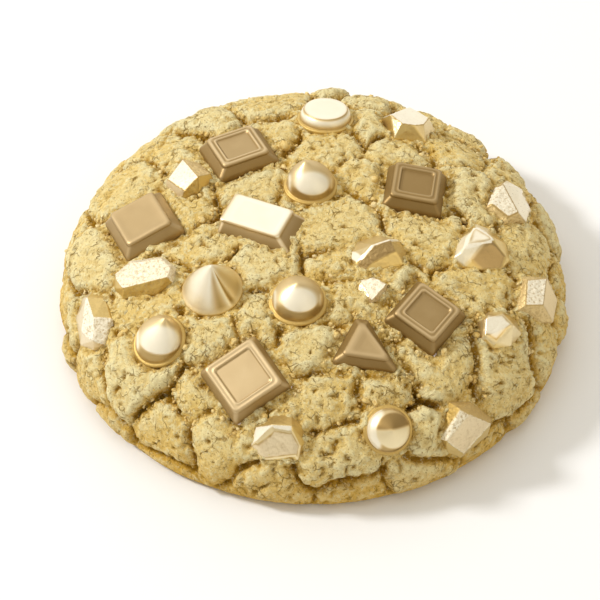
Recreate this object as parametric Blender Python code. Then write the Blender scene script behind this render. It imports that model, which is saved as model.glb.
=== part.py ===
"""A chocolate chip cookie: one domed, craggy dough body, with tablets, a bar, drops and
broken chunks of chocolate set into pockets in its top.

The scene is in metres, +Z up, and the origin is the middle of the flat underside.  Sizes
below are in millimetres, and become metres where a mesh is made.  Every inclusion is shaped
about a point of the smooth dome, with its own z pointing straight out of the crust.
"""

import itertools
import math
from collections import namedtuple

import bmesh
import bpy
import numpy as np
from mathutils import Matrix, Vector

MM = 0.001

# Dough body: a superellipse dome over a rolled-under edge and a flat underside
COOKIE_RADIUS = 50.0
COOKIE_HEIGHT = 25.0
EDGE_HEIGHT = 3.0            # height of the widest ring
BASE_RADIUS = 48.0
DOME_POWER = 2.5             # 2 is an ellipse, more is a fuller shoulder
PROFILE_STEPS = 400
GRID_CELLS = 144             # cells along each side of the sheet that becomes the crust
CRUST_TRIANGLES = 7600       # what is left of that sheet once it is thinned

# Crags: lumps of crust with cracks between them
LUMP_SPACING = 8.0           # closest that a filling lump comes to its neighbour
FILL_TRIES = 900
FILL_SCATTER = 1.0           # how far the tries stray from their spiral
FILL_WIDTHS = (-0.5, 1.5)    # how much wider than others the filling lumps grow
CRACK_DEPTH = 2.3
CRACK_WIDTH = 2.3
CRACK_PATCH = 12.0           # cracks fade out and deepen over about this distance
CRACK_SHARE = 0.7            # of that depth a crack has on average
CRACK_SWING = 0.75           # how far that share swings from place to place
CRACK_LIMITS = (0.12, 1.4)   # the least and the most that the share becomes
CROWN_HEIGHT = 1.1
CROWN_SINK = 0.45            # the lumps stand about the smooth dome, not on it
CROWN_WIDTH = 3.2
STEP_HEIGHT = 0.55           # how far one lump stands above or below the next
WARP_REACH = 2.2             # how far the cracks wander
WARP_SIZE = 7.0
BUMP_HEIGHT = 0.45
BUMP_SIZE = 4.5
FADE_HEIGHT = 4.0            # the crags die out below this, towards the underside
NOISE_TABLE = 32
NOISE_GAIN = 1.6             # brings the blended slopes to about -1 to 1
SEED = 11
SEAT_MARGIN = 2.0            # no filling lump lies nearer than this to an inclusion's foot
SEAT_ABOVE = 8.0             # and above this depth beside it
SEAT_DEPTH = 9.0             # a seat's valley reaches this far down the curved crust

# Inclusions
BURIED = 3.0                 # depth of an inclusion below the crust
POCKET_GAP = 0.45            # a foot's corners stand this far inside its pocket's corners
POCKET_FLOOR = 0.4
POCKET_RISE = 6.0            # the pocket is cut this far up through the crags
TABLET_HEIGHT = 2.4
EDGE_SOFTNESS = 0.35
PANEL_MARGIN = 1.15          # raised frame round a tablet's sunk panel
PANEL_SLOPE = 0.35
PANEL_DEPTH = 0.4
DROP_SIDES = 16
TRIANGLE_NEAR = 0.36         # share of a triangle's depth that lies before its middle
BAR_SHIFT = (1.3, -0.5)      # how far the bar's face lies back from the middle of its foot

# Sections of the drops, from foot to tip: share of the radius, share of the height
ROUND_PROFILE = ((1.0, 0.0), (0.96, 0.07), (0.87, 0.16), (0.77, 0.42), (0.59, 0.64), (0.37, 0.82),
                 (0.16, 0.95), (0.04, 1.0))
CONE_PROFILE = ((1.0, 0.0), (0.94, 0.06), (0.78, 0.2), (0.6, 0.41), (0.42, 0.61), (0.25, 0.79),
                (0.1, 0.93), (0.03, 1.0))
BUTTON_PROFILE = ((1.0, 0.0), (0.96, 0.14), (0.88, 0.34), (0.84, 0.8), (0.72, 1.0))
FOOT_SHARE = 0.86            # of the radius, at a drop's buried end

# The large lumps, each with its place over the base and how much wider than others it grows
LUMPS = (
    (-39.5, 19.0, 3.0), (-43.5, -1.0, 1.5), (-27.0, 26.5, 1.0), (-22.5, 34.0, 1.5),
    (-9.0, 40.0, 2.0), (3.0, 24.0, 2.5), (10.5, 30.5, 1.0), (-6.5, 27.5, 0.5),
    (-14.5, 13.0, 0.5), (5.5, 0.0, 4.0), (21.5, 0.0, 3.5), (-10.0, -9.0, 2.5),
    (4.5, -10.0, 1.0), (-18.5, -3.0, 0.5), (5.5, -19.0, 1.5), (-19.5, -23.5, 1.5),
    (-11.0, -21.5, 0.5), (-34.5, -29.5, 3.0), (-28.0, -39.5, 2.5), (-18.5, -44.0, 3.0),
    (-23.0, -36.5, 0.5), (0.5, -28.0, 1.0), (1.0, -39.0, 2.0), (4.5, -46.5, 1.5),
    (25.5, -31.0, 1.0), (38.0, -28.0, 3.0), (19.0, -46.5, 1.5), (30.5, 12.5, 2.0),
    (27.0, 25.0, 1.5), (43.5, 1.0, 1.0), (29.0, -11.5, 0.5), (-30.5, -17.0, 0.5),
)

CHOCOLATE_DARK = ("chocolate_dark", (0.33, 0.235, 0.115), 0.36, 0.9)
CHOCOLATE_LIGHT = ("chocolate_light", (0.62, 0.49, 0.29), 0.36, 0.9)
CHOCOLATE_PALE = ("chocolate_pale", (0.86, 0.74, 0.50), 0.28, 0.9)
CHOCOLATE_ROUGH = ("chocolate_rough", (0.88, 0.79, 0.58), 0.5, 0.6)
DOUGH = ("crust", (0.66, 0.49, 0.24), 0.85, 0.0)

Inclusion = namedtuple("Inclusion", "name x y turn foot mesh finish valley")
Valley = namedtuple("Valley", "width depth")
TABLET_VALLEY = Valley(3.2, 1.3)
BAR_VALLEY = Valley(2.2, 0.2)
DROP_VALLEY = Valley(2.0, 0.8)
CHUNK_VALLEY = Valley(1.8, 0.5)


# ---------------------------------------------------------------- dome

def dome_section():
    """Radius, height and arc length along the section, from the top to the underside's rim."""
    turn = np.linspace(0.0, math.pi / 2, PROFILE_STEPS)
    power = 2.0 / DOME_POWER
    upper_r = COOKIE_RADIUS * np.sin(turn) ** power
    upper_z = EDGE_HEIGHT + (COOKIE_HEIGHT - EDGE_HEIGHT) * np.cos(turn) ** power
    lower_r = BASE_RADIUS + (COOKIE_RADIUS - BASE_RADIUS) * np.cos(turn[1:])
    lower_z = EDGE_HEIGHT * (1.0 - np.sin(turn[1:]))
    radius = np.concatenate([upper_r, lower_r])
    height = np.concatenate([upper_z, lower_z])
    length = np.concatenate([[0.0], np.cumsum(np.hypot(np.diff(radius), np.diff(height)))])
    return radius, height, length


SECTION_R, SECTION_Z, SECTION_S = dome_section()


def dome_at(reach, angle):
    """Points and outward normals where the section has run a share, 0 to 1, of its length."""
    s = reach * SECTION_S[-1]
    radius = np.interp(s, SECTION_S, SECTION_R)
    height = np.interp(s, SECTION_S, SECTION_Z)
    rise = np.interp(s, SECTION_S, np.gradient(SECTION_Z, SECTION_S))
    run = np.interp(s, SECTION_S, np.gradient(SECTION_R, SECTION_S))
    steep = np.hypot(rise, run)
    points = np.stack([radius * np.cos(angle), radius * np.sin(angle), height], axis=-1)
    out = -rise / steep
    normals = np.stack([out * np.cos(angle), out * np.sin(angle), run / steep], axis=-1)
    return points, normals


def dome_over(x, y):
    """Point and normal of the dome above a place on the base."""
    above = SECTION_Z >= EDGE_HEIGHT
    reach = np.interp(math.hypot(x, y), SECTION_R[above], SECTION_S[above]) / SECTION_S[-1]
    return dome_at(reach, math.atan2(y, x))


def crust_frame(x, y, turn):
    """Matrix whose z leaves the dome at right angles above x, y, turned about that z."""
    point, normal = dome_over(x, y)
    upright = Vector((0.0, 0.0, 1.0)).rotation_difference(Vector(normal)).to_matrix().to_4x4()
    place = Matrix.Translation(Vector(point * MM))
    return place @ upright @ Matrix.Rotation(math.radians(turn), 4, "Z")


# ---------------------------------------------------------------- inclusions

def softened(corners, cut):
    """Outline with each corner swapped for a three-point curve that starts cut before it."""
    outline = []
    for before, corner, after in zip(np.roll(corners, 1, 0), corners, np.roll(corners, -1, 0)):
        start = corner + (before - corner) * cut / np.linalg.norm(before - corner)
        end = corner + (after - corner) * cut / np.linalg.norm(after - corner)
        outline += [start, (start + end + 2 * corner) / 4, end]
    return np.array(outline)


def oblong(length, width):
    """Corners of a rectangle about the origin, anticlockwise."""
    return np.array([(-1, -1), (1, -1), (1, 1), (-1, 1)]) * (length / 2, width / 2)


def blunt_triangle(width, depth, tip, lean):
    """Corners of a triangle whose far corner leans along x and is cut to a short edge."""
    near, far = -TRIANGLE_NEAR * depth, (1.0 - TRIANGLE_NEAR) * depth
    return np.array([(-width / 2, near), (width / 2, near), (lean + tip / 2, far),
                     (lean - tip / 2, far)])


def grown(foot, distance):
    """Outline with every corner moved straight away from the outline's middle."""
    middle = foot.mean(axis=0)
    out = foot - middle
    return foot + out * distance / np.linalg.norm(out, axis=1)[:, None]


def ring_mesh(name, rings):
    """Closed mesh through stacked rings of (x, y, z) rows, lowest first."""
    form = bmesh.new()
    loops = [[form.verts.new(Vector(point) * MM) for point in ring] for ring in rings]
    form.faces.new(reversed(loops[0]))
    form.faces.new(loops[-1])
    for low, high in itertools.pairwise(loops):
        for k in range(len(low)):
            after = (k + 1) % len(low)
            form.faces.new((low[k], low[after], high[after], high[k]))
    bmesh.ops.triangulate(form, faces=form.faces)
    return finished_mesh(name, form)


def hull_mesh(name, points):
    """Closed mesh of the convex hull of (x, y, z) rows."""
    form = bmesh.new()
    for point in points:
        form.verts.new(Vector(point) * MM)
    hull = bmesh.ops.convex_hull(form, input=form.verts)
    loose = [item for item in hull["geom_interior"] if isinstance(item, bmesh.types.BMVert)]
    bmesh.ops.delete(form, geom=loose, context="VERTS")
    return finished_mesh(name, form)


def finished_mesh(name, form):
    """Blender mesh of a bmesh, its faces pointing out."""
    bmesh.ops.recalc_face_normals(form, faces=form.faces)
    mesh = bpy.data.meshes.new(name)
    form.to_mesh(mesh)
    form.free()
    return mesh


def lifted(outline, height):
    """The outline's (x, y) rows with one height added to all."""
    return np.column_stack([outline, np.full(len(outline), height)])


def tablet(name, x, y, turn, foot, face, finish, panel=True, valley=TABLET_VALLEY):
    """A moulded piece: sloping sides under a flat face, which may hold a sunk panel."""
    shoulder = np.linalg.norm(face, axis=1).max()
    inset = [1.0 - step / shoulder for step in (PANEL_MARGIN, PANEL_MARGIN + PANEL_SLOPE)]
    levels = [(foot, -BURIED), (foot, -EDGE_SOFTNESS)]
    levels += [(face * (1 + EDGE_SOFTNESS / shoulder), TABLET_HEIGHT - EDGE_SOFTNESS)]
    levels += [(face, TABLET_HEIGHT)]
    if panel:
        levels += [(face * inset[0], TABLET_HEIGHT)]
        levels += [(face * inset[1], TABLET_HEIGHT - PANEL_DEPTH)]
    rings = [lifted(softened(corners, EDGE_SOFTNESS * 2), z) for corners, z in levels]
    mesh = ring_mesh(name, rings)
    return Inclusion(name, x, y, turn, foot, mesh, finish, valley)


def drop(name, x, y, turn, radius, height, profile=ROUND_PROFILE, lean=0.0):
    """A dropped chip: round foot and a turned section whose tip leans towards its own x."""
    angle = np.arange(DROP_SIDES) * 2 * math.pi / DROP_SIDES
    foot = radius * np.stack([np.cos(angle), np.sin(angle)], axis=-1)
    rings = [lifted(FOOT_SHARE * foot, -BURIED)]
    for share, rise in profile:
        rings.append(lifted(share * foot + (lean * rise ** 2, 0.0), rise * height))
    mesh = ring_mesh(name, rings)
    return Inclusion(name, x, y, turn, foot, mesh, CHOCOLATE_PALE, DROP_VALLEY)


def chunk(name, x, y, foot, face, finish=CHOCOLATE_ROUGH):
    """A broken chunk: the hull of its foot's corners and its face's corners."""
    foot = np.array(foot, dtype=float)
    points = np.vstack([lifted(foot, -BURIED), lifted(foot, 0.0), np.array(face, dtype=float)])
    mesh = hull_mesh(name, points)
    return Inclusion(name, x, y, 0.0, foot, mesh, finish, CHUNK_VALLEY)


def make_inclusions():
    """Every piece of chocolate, from the back of the cookie to the front."""
    large, small = oblong(12.8, 12.8), oblong(11.8, 11.8)
    return [
        tablet("tablet_back_left", -14.8, 20.9, -67, oblong(12, 13), oblong(9.5, 9.4),
               CHOCOLATE_DARK),
        tablet("tablet_left", -33.3, 3.5, -66, large, oblong(10.2, 9.2), CHOCOLATE_LIGHT,
               panel=False),
        tablet("tablet_front", -13.1, -34.4, -58, large, oblong(10.8, 10.5), CHOCOLATE_LIGHT),
        tablet("tablet_right", 21.4, -20.9, -35, small, oblong(9.2, 9.2), CHOCOLATE_DARK),
        tablet("tablet_back_right", 20.0, 10.7, -8, small, oblong(9, 9.4), CHOCOLATE_DARK),
        tablet("tablet_triangle", 10.2, -29.0, -6, blunt_triangle(13.4, 10.2, 2.4, -1.8),
               blunt_triangle(8.8, 6.6, 0.9, -1.6), CHOCOLATE_DARK, panel=False),
        tablet("bar_middle", -9.9, 0.2, -24, oblong(15.4, 9.8), oblong(12, 7.3) - BAR_SHIFT,
               CHOCOLATE_PALE, panel=False, valley=BAR_VALLEY),
        drop("button_back", 2.5, 32.0, 0, 5.7, 2.4, BUTTON_PROFILE),
        drop("drop_back", -0.5, 11.0, 150, 5.4, 6.0, lean=1.2),
        drop("drop_left_pleated", -19.5, -15.0, 0, 6.0, 8.0, CONE_PROFILE, lean=1.0),
        drop("drop_middle", -3.0, -18.5, 90, 5.7, 5.2, lean=0.6),
        drop("drop_left", -29.5, -24.5, 32, 5.4, 5.4, lean=3.6),
        drop("drop_front", 14.0, -42.8, 0, 4.8, 3.8),
        chunk("chunk_back_left", -24.5, 15.0,
              ((-5, -1), (-1.5, -6), (2, -5), (5, -1.5), (2, 4), (-1.5, 5)),
              ((-1, 3.5, 2.2), (2.5, -3.5, 3), (-0.5, -5.5, 1.6), (-4.2, -1, 1.2), (4.6, -1.5, 1.6))),
        chunk("chunk_back_right", 19.0, 31.5,
              ((-5.5, 1), (-3, -6.2), (3.5, -5.5), (5.7, 0), (4.8, 3.2), (0.4, 4.4), (-3.8, 3.2)),
              ((-4.2, -2.3, 3), (-2, -5.2, 3), (0.5, -5.2, 3), (2.5, -4.2, 3), (3.8, -1, 3),
               (0, 2.5, 3))),
        chunk("chunk_middle", 12.5, -7.0,
              ((-5.5, 0), (-4.5, -3.5), (-1.5, -5), (2, -4.5), (5, -2), (5.5, 1), (4, 4), (0, 5),
               (-4, 3)),
              ((-3.7, -2.6, 1.4), (-1.3, -0.2, 3.2), (2.2, 1.1, 3.4), (3.5, -1.2, 2)),
              CHOCOLATE_PALE),
        chunk("chunk_small", 11.5, -16.0,
              ((-3, 0.5), (-0.5, -3), (2.5, -0.5), (2.8, 2), (-0.5, 3.2), (-2.8, 2.6)),
              ((-2.4, 1.8, 1), (0, 2.2, 1.6), (2.2, 0.4, 2), (-0.4, -2.6, 0.9))),
        chunk("chunk_right_back", 39.0, 12.5,
              ((-5.8, -4.5), (-1.5, -7.2), (3.5, -4.5), (5, 0), (3.5, 6), (0, 7), (-3.5, 2.5)),
              ((-2.6, 2, 2.2), (0.2, -5.4, 2.2), (-1.6, -6.6, 1), (-5.2, -4.4, 1),
               (1.9, 4.4, 1.2), (3.6, -1.7, 0.9))),
        chunk("chunk_right_edge", 43.0, -10.0,
              ((-4, -5), (2, -5.2), (5, -4), (6, 1.5), (3.5, 5.5), (-3, 3.2)),
              ((-3.2, 1.5, 1.6), (0.9, 3.2, 2.6), (0.2, -3.3, 2.6), (-3.4, -4.4, 1.5))),
        chunk("chunk_front_right", 29.0, -39.0,
              ((-5.7, -2.6), (-3, -4.8), (0.8, -5.6), (5.6, -0.5), (5.5, 3), (-0.5, 5.4), (-5, 4.6)),
              ((-5.2, -2.4, 1.8), (-3, 3.7, 3.2), (4.3, 2.2, 1.5), (0.4, -4.4, 0.9),
               (-4.8, 4.2, 2.4))),
        chunk("chunk_left", -33.0, -10.5,
              ((-6, -0.5), (-4, -3.2), (3, -3.6), (6.4, -2), (6.8, 1.5), (4, 4.8), (-2.5, 5.4),
               (-5.8, 3)),
              ((-5, 0.6, 1.6), (-1.8, 3.5, 1.8), (4.3, 2.9, 2), (6.4, 0.3, 2), (5.8, -1.9, 2.3),
               (-3.4, -2.4, 2.3))),
        chunk("chunk_left_edge", -43.5, -15.0,
              ((-3.8, 2), (-3, -4), (0.5, -6.6), (3.4, -6.4), (5.8, -2), (4.6, 3), (1.2, 5.8),
               (-1.5, 5.6)),
              ((1.8, 3.8, 2), (3.8, -1.7, 2.7), (2.4, -5.9, 1.9), (-0.8, -2.3, 1.4))),
        chunk("chunk_front", -6.5, -44.5,
              ((-5.6, -1.5), (-3.3, -4.2), (3.4, -4.4), (5, -1.5), (4.4, 1.9), (2.4, 4), (-1, 4.2),
               (-4.4, 2)),
              ((-4.3, -0.7, 1), (-0.8, 1.6, 2.8), (2.7, 1.2, 2.8), (4, -1.8, 1.4), (3, -3.6, 0.8),
               (-3, -3, 0.6), (-1, 2.5, 2.9), (2.7, 2.2, 2.9)), CHOCOLATE_PALE),
        chunk("chunk_right", 32.5, -2.5,
              ((-5.8, -4.2), (-3.5, -5.6), (0, -5.5), (4.2, -4.4), (6.2, -1.8), (5.4, 2.4),
               (2.4, 5.2), (-1, 6), (-4.6, 1)),
              ((-4.4, -3.6, 1.4), (-3.6, -1.8, 2.4), (-2, 2.2, 3.1), (0.7, 0.3, 3.7),
               (4.8, -2.2, 1.3), (-2.4, -4.6, 1.1)), CHOCOLATE_PALE),
        chunk("chunk_right_front", 36.0, -20.5,
              ((-4.7, 0.8), (-4.4, -3.2), (-1.4, -4.4), (2.4, -3), (4.6, 0.6), (3.2, 3.2),
               (0.2, 4.4), (-3, 3.2)),
              ((-4.1, 0.8, 1.8), (-1.2, 2.2, 2.7), (1, 0.3, 3.1), (-1.4, -3.6, 1.1),
               (-3.9, -2.8, 1.3)), CHOCOLATE_PALE),
    ]


# ---------------------------------------------------------------- crags

def make_noise_table(rng):
    """Random slopes at the corners of a cubic lattice that repeats."""
    return rng.uniform(-1.0, 1.0, (NOISE_TABLE, NOISE_TABLE, NOISE_TABLE, 3))


def noise(points, size, table):
    """Smooth noise of about -1 to 1: each lattice corner's slope gives a tilted plane, and the
    eight planes round a point are blended with a cubic ease."""
    scaled = points / size
    cell = np.floor(scaled).astype(int)
    part = scaled - cell
    ease = part * part * (3.0 - 2.0 * part)
    total = np.zeros(len(points))
    for corner in itertools.product((0, 1), repeat=3):
        slope = table[tuple(((cell + corner) % NOISE_TABLE).T)]
        plane = ((part - corner) * slope).sum(axis=1)
        weight = np.where(corner, ease, 1.0 - ease).prod(axis=1)
        total += plane * weight
    return total * NOISE_GAIN


def outline_distance(places, foot):
    """Distance of (x, y) rows outside a convex anticlockwise outline, negative inside it."""
    along = np.roll(foot, -1, axis=0) - foot
    outward = np.column_stack([along[:, 1], -along[:, 0]])
    outward /= np.linalg.norm(outward, axis=1)[:, None]
    return (places @ outward.T - (outward * foot).sum(axis=1)).max(axis=1)


def seen_from(inclusion, points):
    """The points in an inclusion's own frame, in millimetres."""
    frame = np.array(crust_frame(inclusion.x, inclusion.y, inclusion.turn).inverted())
    return points @ frame[:3, :3].T + frame[:3, 3] / MM


def lump_middles(inclusions, rng):
    """The large lumps, then a spiral of tries that keeps each one with room round it.

    Gives their middles on the dome and how much wider than others each one grows."""
    middles = [dome_over(x, y)[0] for x, y, _ in LUMPS]
    widths = [width for _, _, width in LUMPS]
    reach = np.sqrt((np.arange(FILL_TRIES) + 0.5) / FILL_TRIES)
    angle = np.arange(FILL_TRIES) * math.pi * (3.0 - math.sqrt(5.0))
    tries = dome_at(reach, angle)[0] + rng.normal(0.0, FILL_SCATTER, (FILL_TRIES, 3))
    rng.shuffle(tries)
    crowded = np.zeros(FILL_TRIES, dtype=bool)
    for inclusion in inclusions:
        local = seen_from(inclusion, tries)
        near = outline_distance(local[:, :2], inclusion.foot) < SEAT_MARGIN
        crowded |= near & (local[:, 2] > -SEAT_ABOVE)
    for middle in tries[~crowded]:
        room = np.linalg.norm(np.array(middles) - middle, axis=1) - np.array(widths)
        if room.min() > LUMP_SPACING:
            middles.append(middle)
            widths.append(rng.uniform(*FILL_WIDTHS))
    return np.array(middles), np.array(widths)


def ease(share):
    """Smooth rise from 0 to 1 while share goes from 0 to 1."""
    held = np.clip(share, 0.0, 1.0)
    return held * held * (3.0 - 2.0 * held)


def crag_height(points, inclusions):
    """How far the crust stands out of the smooth dome at each point.

    The two nearest lumps decide it.  Where they are equally near there is a crack, here deep
    and there almost closed, and away from it the lump rises in a crown, on a step of its own.
    Round each inclusion the crags sink into a smooth valley, and towards the underside they
    die out.
    """
    rng = np.random.default_rng(SEED)
    tables = [make_noise_table(rng) for _ in range(5)]
    middles, widths = lump_middles(inclusions, rng)
    steps = rng.uniform(-STEP_HEIGHT, STEP_HEIGHT, len(middles))
    wander = np.column_stack([noise(points, WARP_SIZE, table) for table in tables[:3]])
    warped = points + WARP_REACH * wander
    away = np.linalg.norm(warped[:, None, :] - middles[None, :, :], axis=2) - widths
    nearest = away.argmin(axis=1)
    pair = np.partition(away, 1, axis=1)
    seam = pair[:, 1] - pair[:, 0]
    opened = CRACK_SHARE + CRACK_SWING * noise(points, CRACK_PATCH, tables[3])
    opened = np.clip(opened, *CRACK_LIMITS)
    height = CROWN_HEIGHT * (1.0 - opened * np.exp(-seam / CROWN_WIDTH)) - CROWN_SINK
    height -= opened * CRACK_DEPTH * np.exp(-(seam / CRACK_WIDTH) ** 2)
    height += steps[nearest] * ease(seam / CROWN_WIDTH)
    height += BUMP_HEIGHT * noise(points, BUMP_SIZE, tables[4])
    for inclusion in inclusions:
        local = seen_from(inclusion, points)
        gap = outline_distance(local[:, :2], inclusion.foot)
        sunk = ease(1.0 - gap / inclusion.valley.width) * (local[:, 2] > -SEAT_DEPTH)
        height = height * (1.0 - sunk) - inclusion.valley.depth * sunk
    return height * ease(points[:, 2] / FADE_HEIGHT)


# ---------------------------------------------------------------- dough

def square_to_disc(a, b):
    """Reach and angle of the disc that a square of -1 to 1 is squeezed into.

    Each ring of the square becomes a circle, its corners on the diagonals."""
    flat = np.abs(a) > np.abs(b)
    reach = np.where(flat, np.abs(a), np.abs(b))
    safe_a = np.where(flat, a, 1.0)
    safe_b = np.where(flat | (b == 0), 1.0, b)
    angle = np.where(flat, math.pi / 4 * b / safe_a, math.pi / 2 - math.pi / 4 * a / safe_b)
    backwards = np.where(flat, a < 0, b < 0)
    return reach, angle + math.pi * backwards


def crust_sheet(inclusions):
    """Open mesh of the whole crust, from the top down to the underside's rim."""
    form = bmesh.new()
    bmesh.ops.create_grid(form, x_segments=GRID_CELLS, y_segments=GRID_CELLS, size=1.0)
    flat = np.array([vert.co for vert in form.verts])
    points, normals = dome_at(*square_to_disc(flat[:, 0], flat[:, 1]))
    points = points + normals * crag_height(points, inclusions)[:, None]
    for vert, point in zip(form.verts, points):
        vert.co = point * MM
    return finished_mesh("crust_sheet", form)


def thinned(mesh, triangles):
    """The mesh with its flattest edges collapsed until about so many triangles are left."""
    carrier = bpy.data.objects.new("crust_sheet", mesh)
    bpy.context.collection.objects.link(carrier)
    thin = carrier.modifiers.new("thin", "DECIMATE")
    thin.ratio = triangles / (2 * len(mesh.polygons))
    evaluated = carrier.evaluated_get(bpy.context.evaluated_depsgraph_get())
    result = bpy.data.meshes.new_from_object(evaluated)
    bpy.data.objects.remove(carrier)
    return result


def dough_mesh(inclusions):
    """The thinned crust, closed by one flat face at z = 0."""
    form = bmesh.new()
    form.from_mesh(thinned(crust_sheet(inclusions), CRUST_TRIANGLES))
    rim = [edge for edge in form.edges if edge.is_boundary]
    for edge in rim:
        for vert in edge.verts:
            vert.co.z = 0.0
    for vert in form.verts:
        vert.co.z = max(vert.co.z, 0.0)
    bmesh.ops.edgeloop_fill(form, edges=rim)
    return finished_mesh("dough", form)


def pocket_cutter(inclusion, collection):
    """Upright block round an inclusion's foot, which the dough leaves out."""
    outline = grown(inclusion.foot, POCKET_GAP)
    rings = [lifted(outline, -BURIED - POCKET_FLOOR), lifted(outline, POCKET_RISE)]
    cutter = bpy.data.objects.new(inclusion.name + "_pocket", ring_mesh("pocket", rings))
    cutter.matrix_world = crust_frame(inclusion.x, inclusion.y, inclusion.turn)
    cutter.hide_render = True
    cutter.display_type = "WIRE"
    collection.objects.link(cutter)


# ---------------------------------------------------------------- objects

def material(finish):
    """Principled material of one finish, made once."""
    name, colour, roughness, metallic = finish
    if name in bpy.data.materials:
        return bpy.data.materials[name]
    made = bpy.data.materials.new(name)
    made.use_nodes = True
    shader = made.node_tree.nodes["Principled BSDF"]
    shader.inputs["Base Color"].default_value = (*colour, 1.0)
    shader.inputs["Roughness"].default_value = roughness
    shader.inputs["Metallic"].default_value = metallic
    return made


def add_object(name, mesh, finish):
    """One named object in the scene, with its finish."""
    made = bpy.data.objects.new(name, mesh)
    mesh.materials.clear()
    mesh.materials.append(material(finish))
    bpy.context.collection.objects.link(made)
    return made


def main():
    for old in list(bpy.data.objects):
        bpy.data.objects.remove(old)
    inclusions = make_inclusions()
    dough = add_object("dough", dough_mesh(inclusions), DOUGH)
    pockets = bpy.data.collections.new("pockets")
    bpy.context.scene.collection.children.link(pockets)
    for inclusion in inclusions:
        piece = add_object(inclusion.name, inclusion.mesh, inclusion.finish)
        piece.matrix_world = crust_frame(inclusion.x, inclusion.y, inclusion.turn)
        pocket_cutter(inclusion, pockets)
    cut = dough.modifiers.new("pockets", "BOOLEAN")
    cut.operation = "DIFFERENCE"
    cut.operand_type = "COLLECTION"
    cut.collection = pockets


main()
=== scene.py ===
"""The looks of a chocolate chip cookie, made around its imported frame.

Every solid of the frame is replaced by a fine surface of the same form: the craggy dough,
seven moulded tablets, six drops and twelve broken chunks of golden chocolate.  Loose crumbs
and thin melted pools are added.  Shapes are worked out in millimetres about the middle of
the flat underside, +Z up, and become metres where a mesh is made.
"""

import itertools
import math
from collections import namedtuple

import bpy
import numpy as np
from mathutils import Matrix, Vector


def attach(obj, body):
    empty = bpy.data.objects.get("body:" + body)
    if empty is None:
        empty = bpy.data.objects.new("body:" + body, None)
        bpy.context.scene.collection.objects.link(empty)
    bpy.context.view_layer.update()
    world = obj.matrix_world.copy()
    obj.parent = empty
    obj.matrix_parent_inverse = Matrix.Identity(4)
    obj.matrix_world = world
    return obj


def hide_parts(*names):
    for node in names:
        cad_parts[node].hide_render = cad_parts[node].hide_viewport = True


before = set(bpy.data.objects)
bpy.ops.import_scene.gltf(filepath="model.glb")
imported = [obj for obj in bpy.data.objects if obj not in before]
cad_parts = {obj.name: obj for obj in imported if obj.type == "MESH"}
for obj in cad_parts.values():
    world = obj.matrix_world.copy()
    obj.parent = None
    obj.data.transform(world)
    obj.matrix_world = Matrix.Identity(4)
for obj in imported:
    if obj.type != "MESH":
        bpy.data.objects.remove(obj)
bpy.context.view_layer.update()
MM = 0.001

# Dough: the same dome and crags as the solid has
COOKIE_RADIUS = 50.0
COOKIE_HEIGHT = 25.0
EDGE_HEIGHT = 3.0
BASE_RADIUS = 48.0
DOME_POWER = 2.5
PROFILE_STEPS = 400
LUMP_SPACING = 8.0
FILL_TRIES = 900
FILL_SCATTER = 1.0           # how far the tries stray from their spiral
FILL_WIDTHS = (-0.5, 1.5)    # how much wider than others the filling lumps grow
CRACK_DEPTH = 2.3
CRACK_WIDTH = 2.3
CRACK_PATCH = 12.0           # cracks fade out and deepen over about this distance
CRACK_SHARE = 0.7            # of its depth a crack has on average
CRACK_SWING = 0.75           # how far that share swings from place to place
CRACK_LIMITS = (0.12, 1.4)   # the least and the most that the share becomes
CROWN_HEIGHT = 1.1
CROWN_SINK = 0.45
CROWN_WIDTH = 3.2
STEP_HEIGHT = 0.55
WARP_REACH = 2.2
WARP_SIZE = 7.0
BUMP_HEIGHT = 0.45
BUMP_SIZE = 4.5
FADE_HEIGHT = 4.0
SEAT_MARGIN = 2.0            # no filling lump lies nearer than this to a seat's foot
SEAT_ABOVE = 8.0             # and above this depth beside it
SEAT_DEPTH = 9.0             # a seat's valley reaches this far down the curved crust
NOISE_TABLE = 32
NOISE_GAIN = 1.6             # brings the blended slopes to about -1 to 1
SEED = 11
LUMPS = (
    (-39.5, 19.0, 3.0), (-43.5, -1.0, 1.5), (-27.0, 26.5, 1.0), (-22.5, 34.0, 1.5),
    (-9.0, 40.0, 2.0), (3.0, 24.0, 2.5), (10.5, 30.5, 1.0), (-6.5, 27.5, 0.5),
    (-14.5, 13.0, 0.5), (5.5, 0.0, 4.0), (21.5, 0.0, 3.5), (-10.0, -9.0, 2.5),
    (4.5, -10.0, 1.0), (-18.5, -3.0, 0.5), (5.5, -19.0, 1.5), (-19.5, -23.5, 1.5),
    (-11.0, -21.5, 0.5), (-34.5, -29.5, 3.0), (-28.0, -39.5, 2.5), (-18.5, -44.0, 3.0),
    (-23.0, -36.5, 0.5), (0.5, -28.0, 1.0), (1.0, -39.0, 2.0), (4.5, -46.5, 1.5),
    (25.5, -31.0, 1.0), (38.0, -28.0, 3.0), (19.0, -46.5, 1.5), (30.5, 12.5, 2.0),
    (27.0, 25.0, 1.5), (43.5, 1.0, 1.0), (29.0, -11.5, 0.5), (-30.5, -17.0, 0.5),
)

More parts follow.
